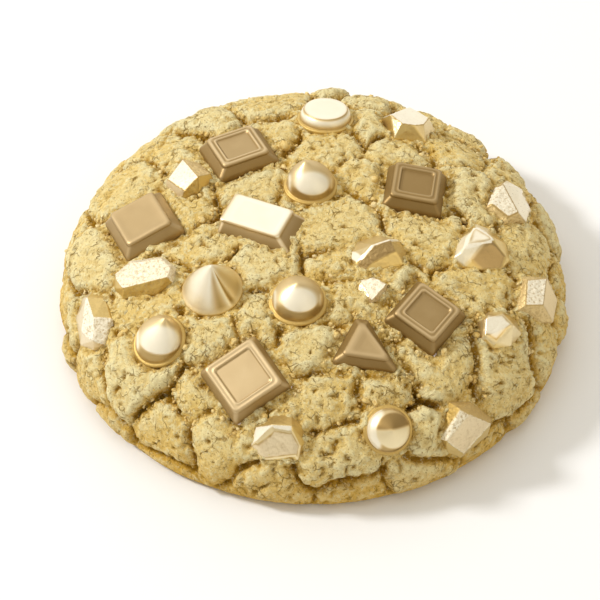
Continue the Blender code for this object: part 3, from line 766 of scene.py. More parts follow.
# Sections of the drops, from foot to tip: share of the radius, share of the height, tone, gilt.
# The tone is partly the pale chocolate's own and partly painted: painted shade in the crease
# over the collar and round a button's top, and painted light on the bodies and a button's side
ROUND_SHAPE = ((1.0, 0.0, 0.38, 1.0), (0.985, 0.025, 0.4, 0.9), (0.96, 0.045, 0.44, 0.8),
               (0.93, 0.055, 0.46, 0.75), (0.9, 0.065, 0.42, 0.7), (0.88, 0.085, 0.34, 0.5),
               (0.868, 0.14, 0.4, 0.2), (0.845, 0.24, 0.8, 0.0), (0.77, 0.41, 0.98, 0.0),
               (0.58, 0.62, 0.98, 0.0), (0.36, 0.79, 0.98, 0.0), (0.165, 0.92, 0.95, 0.0),
               (0.08, 0.97, 0.93, 0.0), (0.01, 1.0, 0.93, 0.0))
CONE_SHAPE = ((1.0, 0.0, 0.5, 1.0), (0.985, 0.025, 0.62, 0.8), (0.955, 0.05, 0.68, 0.5),
              (0.92, 0.075, 0.7, 0.3), (0.88, 0.105, 0.75, 0.2), (0.78, 0.2, 0.86, 0.1),
              (0.6, 0.41, 0.92, 0.0), (0.42, 0.61, 0.94, 0.0), (0.25, 0.79, 0.94, 0.0),
              (0.115, 0.92, 0.94, 0.0), (0.045, 0.98, 0.94, 0.0), (0.008, 1.0, 0.94, 0.0))
BUTTON_SHAPE = ((1.0, 0.0, 0.5, 1.0), (0.985, 0.06, 0.56, 1.0), (0.955, 0.09, 0.6, 1.0),
                (0.925, 0.1, 0.5, 0.9), (0.905, 0.16, 0.38, 0.5), (0.885, 0.44, 0.8, 0.1),
                (0.825, 0.76, 0.95, 0.0), (0.76, 0.91, 0.4, 0.2), (0.715, 0.98, 0.95, 0.0),
                (0.4, 1.02, 0.98, 0.0), (0.05, 1.03, 0.98, 0.0))


def drop_rings(radius, height, shape, lean, pleats):
    """Rings of a turned drop in its seat's frame, with its tone and gilt at their points.

    The section is carried round; the tip leans by the square of the height, and each pleat is
    a bell curve of the direction that fades at the foot and at the tip."""
    section = smooth_curve(shape, 6)
    angle = np.arange(AROUND) * 2 * math.pi / AROUND
    share, rise, tone, gilt = (section[:, k:k + 1] for k in range(4))
    fade = ease(rise * 8) * ease(3.0 - 3.0 * rise)
    out = radius * share * np.ones(AROUND)
    tone = tone * np.ones(AROUND)
    for direction, width, depth, change in pleats:
        away = np.angle(np.exp(1j * (angle - math.radians(direction))))
        fold = np.exp(-(away / math.radians(width)) ** 2) * fade
        out *= 1.0 + depth * fold
        # Painted light and shade of the folds
        tone += change * fold
    shift = lean * rise ** 2
    upper = np.stack([out * np.cos(angle) + shift, out * np.sin(angle),
                      rise * height * np.ones(AROUND)], axis=-1)
    buried = upper[:1] * (FOOT_SHARE, FOOT_SHARE, 0.0) - (0.0, 0.0, BURIED)
    tone = np.concatenate([tone[:1], tone]).ravel()
    gilt = np.repeat(np.concatenate([gilt[:1], gilt]).ravel(), AROUND)
    return np.concatenate([buried, upper]), tone, gilt


def streak(across, up, place, length):
    """A soft upright streak of painted highlight at a (place, width) across: 1 in its middle,
    and gone two lengths above and below it."""
    bell = np.exp(-((across - place[0]) / place[1]) ** 2)
    return bell * ease(2.0 - np.abs(up - FIELD_MIDDLE) / length)


def painted_reflection(solid, seat, radius, lean, tone, gilt):
    """Painted reflection on a round drop's body, in its tone and gilt, laid out as it faces a
    viewer in front and above: a pale oval field that is soft at its top and larger where the
    tip leans, painted bronze shade under it, a pale highlight streak on the left and a short
    one on the right, and painted gold reflection between them."""
    origin = crust_frame(seat.x, seat.y, seat.turn)[0]
    offset = (solid - origin) / radius
    across = offset[:, 0]
    up = offset[:, 1:] @ FRONT_UP
    spread = 1.0 + FIELD_LEAN * lean
    level = (up - FIELD_MIDDLE) / (FIELD_SIZE[1] * spread)
    edge = 1.0 - np.hypot((across - FIELD_MIDDLE) / (FIELD_SIZE[0] * spread), level)
    field = ease(0.5 + edge * (2.5 + 4.0 * ease(-2.0 * level)))
    left = streak(across, up, LEFT_STREAK, 0.25)
    right = streak(across, up, RIGHT_STREAK, 0.125)
    pale = np.maximum(field, np.maximum(left, 0.6 * right))
    flank = FLANK_TONE - 0.12 * ease(2.0 * across) - 0.34 * ease(-1.5 * level - 0.1)
    body = 1.0 - gilt
    tone = tone * gilt + blend(flank, FIELD_TONE, pale) * body
    return tone, gilt + FLANK_GILT * (1.0 - pale) * body


def painted_top_reflection(points, tone, gilt):
    """Painted reflection and shade on the front drop's top, in its tone and gilt: a bronze field
    of painted shade on its far half and a warm beige one of painted reflection on its near
    half, both inside a painted highlight border that is wide and pale on the left."""
    x, y, z = points.T
    left = ease(-x - 1.0) * (z > 0.6)
    tone = blend(tone, BORDER_TONE, left)
    gilt = gilt * (1.0 - left)
    edge = 0.18 * x + 0.03 * x ** 2 - 0.1
    far = ease((y - edge) / 0.7)
    inside = ease((TOP_RADIUS - np.hypot(x - TOP_MIDDLE, y)) / 0.4) * (z > 1.0)
    tone = blend(tone, blend(NEAR_TOP[0], FAR_TOP[0], far), inside)
    return tone, blend(gilt, blend(NEAR_TOP[1], FAR_TOP[1], far), inside)


def add_drops(seats, tables, finish):
    """Six drops: (name, radius, height, section, lean, pleats)."""
    rows = (
        ("button_back", 5.7, 2.4, BUTTON_SHAPE, 0.0, ()),
        ("drop_back", 5.4, 6.0, ROUND_SHAPE, 1.2, ()),
        ("drop_left_pleated", 6.0, 8.0, CONE_SHAPE, 1.0, PLEATS),
        ("drop_middle", 5.7, 5.2, ROUND_SHAPE, 0.6, ()),
        ("drop_left", 5.4, 5.4, ROUND_SHAPE, 3.6, ()),
        ("drop_front", 4.8, 3.8, ROUND_SHAPE, 0.0, ()),
    )
    for name, radius, height, shape, lean, pleats in rows:
        seat = seats[name]
        rings, tone, gilt = drop_rings(radius, height, shape, lean, pleats)
        points = rings.reshape(-1, 3)
        rise = points[:, 2] / height
        points += swell(points, DROP_SWELL, tables[1])[:, None] * points / radius
        solid = placed(seat, points)
        collar = 0.4 * gilt
        # Painted reflection on the round drops' bodies
        if shape is ROUND_SHAPE:
            tone, gilt = painted_reflection(solid, seat, radius, lean, tone, gilt)
        # Painted shade, in gold, on the cone's right side, away from the key
        if shape is CONE_SHAPE:
            gilt = np.maximum(gilt, 0.6 * ease((solid[:, 0] - seat.x) / 2.0) * (rise > 0.0))
        # Painted reflection and shade on the front drop's top
        if name == "drop_front":
            tone, gilt = painted_top_reflection(points, tone, gilt)
        mesh = closed_rings(name + "_turned", solid.reshape(rings.shape))
        store(mesh, "tone", np.append(tone, (tone[0], tone[-1])))
        store(mesh, "gilt", np.append(gilt, (1.0, gilt[-1])))
        store(mesh, "grain", np.append(collar, (0.4, 0.0)))
        add_piece(name + "_turned", mesh, finish, "chocolate_pale", name)


# ---------------------------------------------------------------- crumbs and melted pools

def crumb_mesh(crags, rng):
    """Loose crumbs, most of them in the cracks: coarse balls, each stretched and turned its
    own way and dented by a noise, that lie on the crust."""
    reach = CRUMB_REACH * np.sqrt(rng.uniform(0.0, 1.0, CRUMB_TRIES))
    angle = rng.uniform(0.0, 2 * math.pi, CRUMB_TRIES)
    places, normals = dome_at(reach, angle)
    height, crumbly = crags.heights(places)
    kept = crumbly > rng.uniform(*CRUMB_NEED, CRUMB_TRIES)
    for seat in crags.seats:
        gap, above = beside(seat, places)
        kept &= (gap > CRUMB_MARGIN) | (above < -SEAT_DEPTH)
    places, normals, height = places[kept], normals[kept], height[kept]
    count = len(places)
    size = CRUMB_SIZE * rng.lognormal(0.0, CRUMB_SPREAD, count) / 2
    ball = np.vstack([ball_rings(CRUMB_ROWS, CRUMB_SIDES), (0, 0, -1), (0, 0, 1)])
    stretch = rng.uniform(*CRUMB_STRETCH, (count, 1, 3)) * size[:, None, None]
    turn = np.linalg.qr(rng.normal(size=(count, 3, 3)))[0]
    turn *= np.linalg.det(turn)[:, None, None]
    form = (ball * stretch) @ turn
    form += (places + normals * (height + 0.2 * size)[:, None])[:, None]
    points = form.reshape(-1, 3)
    dent = 0.5 * np.repeat(size, len(ball)) * noise(points, 0.4, crags.fine[3])
    points += np.repeat(normals, len(ball), axis=0) * dent[:, None]
    start = np.arange(count)[:, None, None] * len(ball)
    faces = [(part + start).reshape(-1, part.shape[1])
             for part in closed_faces(CRUMB_ROWS, CRUMB_SIDES)]
    return make_mesh("crumbs", points, *faces)


# Rings of a pool: (distance outside its outline, height over its level), lowest first
POOL_RINGS = ((-0.3, -BURIED + 0.2), (0.0, -0.5), (0.0, -0.2), (-0.15, -0.05), (-0.5, 0.0),
              (-1.2, 0.03))


def add_pools(seats, tables, finish):
    """Thin melted pools round the tablets: (name, widest direction in the seat's frame)."""
    rows = (("tablet_back_left", 160), ("tablet_front", 20), ("tablet_right", 0),
            ("tablet_triangle", 200), ("bar_middle", 0))
    for name, widest in rows:
        seat = seats[name]
        outline = rounded(drawn_in(seat.foot, -POOL_MARGIN), POOL_CORNER)
        angle = np.arctan2(outline[:, 1], outline[:, 0]) - math.radians(widest)
        away = outline / np.linalg.norm(outline, axis=1)[:, None]
        reach = ease(np.cos(angle)) - 0.7 + 0.4 * noise(lifted(outline, 0.0), 3.0, tables[0])
        rings = [lifted(outline + away * (reach + outside)[:, None], POOL_LEVEL + z)
                 for outside, z in POOL_RINGS]
        rings = placed(seat, np.array(rings).reshape(-1, 3)).reshape(len(POOL_RINGS), -1, 3)
        mesh = closed_rings(name + "_pool", rings)
        add_piece(name + "_pool", mesh, finish, "chocolate_pale")


# ---------------------------------------------------------------- broken chunks

CHUNK_ROWS = 129
CHUNK_COLUMNS = 220
CHUNK_SQUASH = 0.5
FACET_FLATNESS = 0.4         # the higher, the more of a facet stays flat
# The band along the first facet's edge is a painted highlight where its coat is pale and painted
# shade where it is dark, and the thin line in it is painted shade
BAND = 0.35                  # closeness to an edge at which its band of another coat starts
BAND_BLUR = 0.2
LINE_WIDTH = 0.15            # of the thin line there
MIX_START = 0.6              # closeness to an edge at which two facets' coats start to mix
SAME_PLANE = 0.03            # faces whose planes differ by less than this are one flat face
SLIVER = 0.01                # a triangle of less than half this area isn't a face
CHUNK_MIDDLE = -0.2          # height of the point that a chunk's directions leave from

# Coats of the chunks' facets: each tone is partly the chocolate's own and partly painted light,
# shade and reflection, given to a facet by the way it faces
Coat = namedtuple("Coat", "tone gilt grain")
WHITE = Coat(0.98, 0.0, 0.12)
ROUGH_WHITE = Coat(0.95, 0.0, 0.9)
CREAM = Coat(0.85, 0.1, 0.1)
SATIN = Coat(0.88, 0.0, 0.05)
BEIGE = Coat(0.66, 0.1, 0.3)
ROUGH_BEIGE = Coat(0.62, 0.6, 0.8)
BRONZE = Coat(0.27, 0.1, 0.1)
ROUGH_BRONZE = Coat(0.25, 0.2, 0.9)
GOLD = Coat(0.62, 1.0, 0.1)
PALE_GOLD = Coat(0.8, 0.6, 0.1)
ROUGH_GOLD = Coat(0.4, 1.0, 0.8)
# Painted shade along a facet's crease
CREASE_SHADE = Coat(0.3, 0.4, 0.5)


def solid_planes(seat):
    """Normals and distances of a node's flat faces, each once, in its seat's frame."""
    corners = seen_from(seat, solid_corners(seat.name).reshape(-1, 3)).reshape(-1, 3, 3)
    across = np.cross(corners[:, 1] - corners[:, 0], corners[:, 2] - corners[:, 0])
    size = np.linalg.norm(across, axis=1)
    kept = []
    for k in size.argsort()[::-1]:
        normal = across[k] / size[k]
        plane = np.append(normal, corners[k, 0] @ normal)
        if size[k] > SLIVER and all(np.abs(plane - other).max() > SAME_PLANE for other in kept):
            kept.append(plane)
    kept = np.array(kept)
    return kept[:, :3], kept[:, 3]


def chunk_directions():
    """Directions out of a chunk's middle, flattened so that more of them meet its face."""
    out = ball_rings(CHUNK_ROWS, CHUNK_COLUMNS, CHUNK_SQUASH)
    return out / np.linalg.norm(out, axis=1)[:, None]


def chunk_form(out, pressed, sharpness):
    """How far a form of facets reaches in each direction, its first and second facet there,
    and how close the edge between these is, 0 to 1.

    pressed holds, for every direction and facet, one over the distance to that facet.  Edges
    are rounded by a power mean, the less the higher the sharpness, and cut flat by facets."""
    order = np.argsort(pressed, axis=1)
    first, second = order[:, -1], order[:, -2]
    rows = np.arange(len(out))
    most = pressed[rows, first]
    mean = ((pressed / most[:, None]) ** sharpness).sum(axis=1) ** (1.0 / sharpness)
    mound = (1.0 + FACET_FLATNESS / sharpness) / (most * mean)
    close = (pressed[rows, second] / most) ** sharpness
    return np.minimum(mound, 1.0 / most), first, second, close


def add_chunk(seat, tables, finish, slot, sharpness, edge, line, faces, cuts):
    """A broken chunk: its solid's flat faces, joined to facets of one coat each.

    Each row of faces (coat, directions) is a facet of all the flat faces that point most
    nearly one of its ways, and each cut (row of faces, direction, point) adds a flat face to
    one; the coats are partly painted light, shade and reflection, given by the way a facet
    faces.  The first facet is bordered by a band of the edge's coat, a painted highlight where
    that coat is pale and painted shade where it is dark, with a thin line of painted shade,
    another tone, inside it."""
    normals, distances = solid_planes(seat)
    middle = np.array([*seat.foot.mean(axis=0), CHUNK_MIDDLE])
    room = distances - normals @ middle
    ways = [(way, k) for k, row in enumerate(faces) for way in row[1:]]
    facing = np.array([way for way, _ in ways], dtype=float)
    facing /= np.linalg.norm(facing, axis=1)[:, None]
    facet = np.array([k for _, k in ways])[(normals @ facing.T).argmax(axis=1)]
    for k, way, point in cuts:
        normal = np.array(way) / np.linalg.norm(way)
        normals = np.vstack([normals, normal])
        room = np.append(room, (np.array(point) - middle) @ normal)
        facet = np.append(facet, k)
    out = chunk_directions()
    pressed = np.maximum(out @ normals.T, 0.0) / room
    pressed = np.stack([pressed[:, facet == k].max(axis=1) for k in range(len(faces))], axis=1)
    reach, first, second, close = chunk_form(out, pressed + 1e-6, sharpness)
    coats = np.array([row[0] for row in faces])
    coat = coats[first]
    near = 0.5 * ease((close - MIX_START) / (1.0 - MIX_START))[:, None]
    coat = blend(coat, coats[second], near)
    bordered = (first == 0) | (second == 0)
    band = (ease((close - BAND) / BAND_BLUR + 0.5) * bordered)[:, None]
    coat = blend(coat, np.array(edge), band)
    # Painted shade: a thin darker line along the first facet's edge
    shade_line = line * np.exp(-((close - BAND) / LINE_WIDTH) ** 2) * (first == 0)
    coat[:, 0] += shade_line * (0.8 + 0.5 * noise(out, 0.3, tables[1]))
    points = middle + out * reach[:, None]
    rough = swell(points, COARSE_BREAK, tables[2]) + swell(points, FINE_BREAK, tables[3])
    rough = rough * coat[:, 2] + swell(points, CHUNK_SWELL, tables[4])
    points += out * rough[:, None]
    rings = placed(seat, points).reshape(CHUNK_ROWS, CHUNK_COLUMNS, 3)
    mesh = closed_rings(seat.name + "_broken", rings)
    for name, values in zip(Coat._fields, coat.T):
        ends = (values[:CHUNK_COLUMNS].mean(), values[-CHUNK_COLUMNS:].mean())
        store(mesh, name, np.append(values, ends))
    add_piece(seat.name + "_broken", mesh, finish, slot, seat.name)


def add_chunks(seats, tables, finish):
    """Twelve broken chunks: (name, slot, sharpness, coat of the first facet's edge, a band of
    painted highlight and shade, change of tone along it, a line of painted shade, faces, cuts)."""
    rough, smooth = "chocolate_rough", "chocolate_pale"
    rows = (
        ("chunk_back_left", rough, 45, CREASE_SHADE, 0.0, (
            (Coat(0.98, 0.0, 0.4), (-0.27, -0.02, 0.96), (-0.32, -0.18, 0.93)),
            (ROUGH_BEIGE, (0.34, 0.27, 0.9), (0.48, 0.45, 0.76), (0.24, 0.83, 0.5)),
            (GOLD, (0.74, -0.64, 0.2), (0.86, 0.47, 0.2), (0.9, 0.0, 0.1)),
            (ROUGH_GOLD, (0.4, -0.85, 0.36), (0.27, -0.95, 0.1)),
            (BEIGE, (-0.76, 0.44, 0.48), (-0.66, -0.49, 0.57))), ()),
        ("chunk_back_right", smooth, 45, CREASE_SHADE, 0.0, (
            (WHITE, (0.0, 0.0, 1.0), (-0.39, 0.34, 0.85), (0.32, 0.35, 0.88)),
            (GOLD, (-0.96, -0.29, 0.0), (0.0, -0.95, 0.3), (0.1, -0.99, 0.0)),
            (Coat(0.8, 0.5, 0.1), (-0.72, -0.55, 0.42)),
            (Coat(0.7, 0.6, 0.2), (0.84, -0.34, 0.42), (0.39, -0.79, 0.47)),
            (CREAM, (0.82, 0.1, 0.56))), ()),
        ("chunk_middle", smooth, 14, WHITE, 0.0, (
            (Coat(0.72, 0.5, 0.1), (-0.28, 0.55, 0.79), (0.18, 0.7, 0.69), (-0.57, 0.29, 0.77)),
            (ROUGH_BRONZE, (0.09, -0.55, 0.83), (-0.07, -0.55, 0.83), (0.12, -0.46, 0.88)),
            (GOLD, (0.5, -0.6, 0.62), (0.0, -1.0, 0.0), (-0.8, -0.5, 0.2), (-0.78, -0.22, 0.59)),
            (Coat(0.5, 0.8, 0.5), (0.72, -0.02, 0.7), (0.68, 0.34, 0.65))),
         ((2, (0.25, -0.75, 0.61), (1.0, -1.9, 1.83)),)),
        ("chunk_small", rough, 40, ROUGH_WHITE, 0.0, (
            (Coat(0.93, 0.0, 0.7), (-0.25, -0.14, 0.96)),
            (Coat(0.75, 0.3, 0.9), (0.62, -0.68, 0.4), (0.41, 0.65, 0.64), (0.97, -0.12, 0.2)),
            (BEIGE, (-0.6, -0.29, 0.74), (-0.21, 0.8, 0.56))), ()),
        ("chunk_right_back", rough, 45, CREASE_SHADE, 0.0, (
            (ROUGH_WHITE, (-0.23, -0.09, 0.97), (-0.27, -0.45, 0.85), (-0.84, 0.25, 0.48)),
            (SATIN, (0.18, 0.07, 0.98), (0.32, 0.04, 0.95), (-0.02, 0.41, 0.91),
             (0.58, -0.27, 0.77), (0.5, 0.13, 0.85)),
            (ROUGH_BEIGE, (0.45, -0.83, 0.33), (-0.49, -0.79, 0.37)),
            (BEIGE, (-0.86, 0.28, 0.3), (-0.72, 0.56, 0.42))), ()),
        ("chunk_right_edge", rough, 45, CREASE_SHADE, 0.0, (
            (ROUGH_WHITE, (-0.25, 0.03, 0.97), (-0.29, -0.01, 0.96)),
            (Coat(0.6, 0.4, 0.05), (0.44, -0.05, 0.9), (0.51, 0.32, 0.8)),
            (ROUGH_BEIGE, (0.05, -0.79, 0.61), (0.27, -0.68, 0.68)),
            (ROUGH_BEIGE, (-0.3, 0.84, 0.45), (-0.42, 0.65, 0.63), (-0.93, 0.0, 0.36))), ()),
        ("chunk_front_right", rough, 45, Coat(0.9, 0.3, 0.9), 0.0, (
            (Coat(0.7, 0.1, 0.35), (0.18, -0.2, 0.96), (0.07, -0.25, 0.97)),
            (Coat(0.95, 0.2, 1.0), (-0.42, -0.06, 0.91), (-0.96, 0.03, 0.26)),
            (Coat(0.5, 0.6, 0.5), (0.29, 0.73, 0.62), (0.0, 0.9, 0.45)),
            (GOLD, (0.38, -0.3, 0.87), (-0.14, -0.67, 0.73), (0.8, -0.5, 0.1),
             (0.77, 0.02, 0.63)),
            (ROUGH_GOLD, (-0.99, 0.1, 0.0), (-0.61, -0.75, 0.25))), ()),
        ("chunk_left", rough, 45, ROUGH_WHITE, 0.0, (
            (Coat(0.89, 0.0, 0.8), (0.0, 0.06, 1.0), (-0.18, 0.13, 0.97), (0.07, 0.73, 0.68),
             (-0.42, 0.4, 0.81), (0.94, -0.22, 0.26)),
            (ROUGH_GOLD, (0.05, -0.83, 0.56), (-0.05, -0.94, 0.34), (0.42, -0.89, 0.15)),
            (GOLD, (-0.74, -0.25, 0.63), (-0.74, -0.55, 0.38), (-0.86, 0.05, 0.5))), ()),
        ("chunk_left_edge", rough, 30, ROUGH_WHITE, 0.0, (
            (ROUGH_WHITE, (-0.27, 0.02, 0.96), (-0.26, -0.1, 0.96), (0.73, -0.35, 0.58)),
            (Coat(0.78, 0.0, 0.15), (-0.35, 0.06, 0.93), (-0.4, 0.25, 0.88),
             (-0.5, -0.07, 0.86), (-0.39, -0.23, 0.89)),
            (Coat(0.6, 0.9, 0.3), (0.61, 0.31, 0.73), (0.8, 0.19, 0.57)),
            (BEIGE, (-0.45, -0.6, 0.67), (0.07, -0.96, 0.29))), ()),
        ("chunk_front", smooth, 30, PALE_GOLD, -0.45, (
            (Coat(0.72, 0.1, 0.25), (-0.07, -0.4, 0.91), (-0.27, -0.31, 0.91),
             (0.12, -0.38, 0.92), (-0.42, -0.36, 0.83)),
            (WHITE, (-0.01, -0.1, 1.0), (-0.65, 0.24, 0.72), (-0.35, -0.18, 0.92)),
            (Coat(0.55, 0.8, 0.3), (-0.49, 0.75, 0.44), (0.07, 0.85, 0.52), (0.68, 0.65, 0.33)),
            (GOLD, (0.86, 0.15, 0.49), (0.78, -0.43, 0.46), (-0.02, -0.71, 0.7),
             (0.0, -1.0, 0.0), (-0.76, -0.65, 0.0))), ()),
        ("chunk_right", smooth, 10, WHITE, -0.45, (
            (WHITE, (-0.26, -0.06, 0.96)),
            (Coat(0.95, 0.2, 0.1), (-0.06, -0.44, 0.9), (-0.09, -0.45, 0.89),
             (-0.79, 0.2, 0.57), (-0.68, -0.1, 0.72), (-0.2, -0.62, 0.76),
             (0.2, 0.54, 0.81), (0.14, 0.6, 0.78)),
            (BRONZE, (0.15, -0.54, 0.83), (0.15, -0.58, 0.8)),
            (GOLD, (0.57, 0.15, 0.81), (0.42, 0.45, 0.79), (0.66, -0.51, 0.55),
             (0.02, -0.75, 0.66), (0.0, -1.0, 0.0), (-0.74, 0.53, 0.3), (-0.5, -0.85, 0.0))),
         ((0, (-0.2, 0.04, 0.98), (-2.4, 1.1, 2.35)),)),
        ("chunk_right_front", smooth, 11, PALE_GOLD, -0.4, (
            (WHITE, (-0.26, -0.15, 0.95), (-0.25, -0.09, 0.96), (-0.06, -0.42, 0.9),
             (-0.49, 0.66, 0.57), (-0.92, -0.1, 0.38)),
            (PALE_GOLD, (0.62, -0.38, 0.69), (0.31, -0.58, 0.76), (0.6, 0.32, 0.73)),
            (GOLD, (0.34, 0.55, 0.76), (-0.3, 0.81, 0.5), (-0.34, -0.85, 0.39),
             (0.29, -0.78, 0.56), (0.0, -1.0, 0.0), (-1.0, 0.0, 0.0))), ()),
    )
    for name, *row in rows:
        add_chunk(seats[name], tables, finish, *row)


# ---------------------------------------------------------------- materials

class Shade:
    """One output of a shader node.  Arithmetic on it adds Math nodes to its finish."""

    def __init__(self, finish, socket):
        self.finish = finish
        self.socket = socket

    def maths(self, operation, first, second):
        settings = {"operation": operation}
        return self.finish.node("ShaderNodeMath", settings, {0: first, 1: second})

    def __add__(self, other):
        return self.maths("ADD", self, other)

    def __radd__(self, other):
        return self.maths("ADD", other, self)

    def __sub__(self, other):
        return self.maths("SUBTRACT", self, other)

    def __rsub__(self, other):
        return self.maths("SUBTRACT", other, self)

    def __mul__(self, other):
        return self.maths("MULTIPLY", self, other)

    def __rmul__(self, other):
        return self.maths("MULTIPLY", other, self)

    def held(self, low, high):
        """0 below low, 1 above high and a straight rise between them."""
        sockets = {"Value": self, "From Min": low, "From Max": high}
        return self.finish.node("ShaderNodeMapRange", {"clamp": True}, sockets)


class Finish:
    """A procedural material round one Principled shader."""

    def __init__(self, name):
        self.material = bpy.data.materials.new(name)
        self.material.use_nodes = True
        self.tree = self.material.node_tree
        self.shader = self.tree.nodes["Principled BSDF"]

    def node(self, kind, settings, sockets, output=0):
        """A new node: its settings are set first, then its sockets' values or links."""
        made = self.tree.nodes.new(kind)
        for name, value in settings.items():
            if name == "stops":
                self.set_stops(made.color_ramp, value)
            else:
                setattr(made, name, value)
        for name, value in sockets.items():
            self.feed(made.inputs[name], value)
        return Shade(self, made.outputs[output])

    def set_stops(self, ramp, stops):
        """Give a colour ramp its (position, colour) stops."""
        while len(ramp.elements) < len(stops):
            ramp.elements.new(1.0)
        for element, (position, colour) in zip(ramp.elements, stops):
            element.position = position
            element.color = (*colour, 1.0)

    def feed(self, socket, value):
        """Link a shade to the socket, or set its value, a colour being three numbers."""
        if isinstance(value, Shade):
            self.tree.links.new(value.socket, socket)
        elif isinstance(value, tuple) and socket.type == "RGBA":
            socket.default_value = (*value, 1.0)
        else:
            socket.default_value = value

    def surface(self, **sockets):
        """Feed the shader's own sockets, named with underscores for spaces."""
        for name, value in sockets.items():
            self.feed(self.shader.inputs[name.replace("_", " ")], value)

    def place(self):
        """Object coordinates."""
        return self.node("ShaderNodeTexCoord", {}, {}, output=3)

    def attribute(self, name):
        """The number that a mesh stores at its points."""
        return self.node("ShaderNodeAttribute", {"attribute_name": name}, {}, output=2)

    def cloud(self, size, detail=2.0, roughness=0.5):
        """Noise of 0 to 1 whose patches are about size millimetres wide."""
        sockets = {"Vector": self.place(), "Scale": 1 / (size * MM), "Detail": detail,
                   "Roughness": roughness}
        return self.node("ShaderNodeTexNoise", {}, sockets)

    def cells(self, feature, size, reach, detail):
        """Distance, in sizes, within scattered cells that a noise of the given detail moves
        about by up to reach millimetres either way."""
        scale = 1 / (size * MM)
        sockets = {"Vector": self.place(), "Scale": scale, "Detail": detail}
        drift = self.node("ShaderNodeTexNoise", {}, sockets, output=1)
        sockets = {0: drift, 1: (2 * reach * MM,) * 3, 2: self.place()}
        moved = self.node("ShaderNodeVectorMath", {"operation": "MULTIPLY_ADD"}, sockets)
        sockets = {"Vector": moved, "Scale": scale}
        return self.node("ShaderNodeTexVoronoi", {"feature": feature}, sockets)

    def crackle(self, size, wander):
        """Distance, in sizes, to the borders of cells whose lines wander by millimetres."""
        return self.cells("DISTANCE_TO_EDGE", size, wander, 3.0)

    def grains(self, size, wander=0.25):
        """Distance, in sizes, to the middle of the nearest of packed grains, which wander by
        a share of their size."""
        return self.cells("F1", size, wander * size, 2.0)

    def tint(self, mask, colour, other):
        """colour where mask is 0, other where it is 1."""
        sockets = {0: mask, 6: colour, 7: other}
        return self.node("ShaderNodeMix", {"data_type": "RGBA"}, sockets, output=2)

    def ramp(self, value, *stops):
        """Colour of a value along (position, colour) stops."""
        return self.node("ShaderNodeValToRGB", {"stops": stops}, {"Fac": value})

    def bump(self, height, distance):
        """Normal of a relief whose height, 0 to 1, stands for distance millimetres."""
        return self.node("ShaderNodeBump", {}, {"Height": height, "Distance": distance * MM})


def baked_dough():
    """Pale golden crumb with painted light and shade: painted cream highlights on the lumps'
    tops, painted shade as deeper gold in cracks, pits and between grains, and deeper gold low
    down, partly toasting and partly painted gold bounce light.
    """
    finish = Finish("baked_dough")
    relief = finish.attribute("relief")
    hollow = finish.attribute("hollow")
    toasted = finish.attribute("toasted")
    patches = finish.cloud(9.0, 3.0)
    flecks = finish.cloud(0.8, 5.0, 0.75)
    specks = finish.cloud(0.45, 3.0, 0.6)
    grains = finish.grains(0.95, 0.4)
    coarse = finish.grains(1.7)
    pits = (1.0 - finish.grains(1.6, 0.9).held(0.0, 0.2)) * finish.cloud(4.0).held(0.45, 0.6)
    lines = 1.0 - finish.crackle(2.4, 1.4).held(0.01, 0.05)
    lines = lines * finish.cloud(2.5, 2.0).held(0.5, 0.62)
    crumbly = finish.attribute("crumbly")
    base = finish.ramp(patches, (0.3, (0.93, 0.67, 0.21)), (0.7, (1.0, 0.80, 0.35)))
    # Painted light and shade: cream painted highlights on raised lumps, ridges and the tops of
    # flecks, and painted shade in hollows, cracks, between grains, in the low spots of flecks and
    # specks, in pits and in hairlines; low down the crust is toasted and carries painted gold
    # bounce light
    layers = (
        (toasted * 0.9, (0.83, 0.51, 0.085)),
        (hollow.held(0.1, 1.2) * (0.5 - toasted * 0.3), (1.0, 0.90, 0.52)),
        ((hollow * -1.0).held(0.2, 1.6) * 0.9, (0.62, 0.35, 0.035)),
        ((relief * -1.0).held(0.05, 0.5) * 0.9, (0.44, 0.225, 0.012)),
        (relief.held(0.06, 0.35) * (0.75 - toasted * 0.5), (1.0, 0.92, 0.56)),
        (flecks.held(0.53, 0.62) * (0.75 - toasted * 0.3), (1.0, 0.92, 0.58)),
        (grains.held(0.5, 0.75) * (crumbly * 0.5 + 0.2), (0.52, 0.29, 0.02)),
        ((1.0 - flecks.held(0.34, 0.41)) * 0.75, (0.44, 0.225, 0.01)),
        ((1.0 - specks.held(0.31, 0.38)) * 0.85, (0.36, 0.18, 0.012)),
        (pits, (0.30, 0.15, 0.015)),
        (lines * 0.7, (0.40, 0.21, 0.015)),
    )
    for mask, colour in layers:
        base = finish.tint(mask, base, colour)
    finish.surface(Base_Color=base, Roughness=0.6, Specular_IOR_Level=0.06)
    height = flecks * 1.2 + specks * 0.6 - grains * (crumbly * 0.6 + 0.2)
    height = height - coarse * (crumbly * 0.7 + 0.15)
    finish.surface(Normal=finish.bump(height - pits * 0.7 - lines * 0.6, 0.75))
    return finish.material


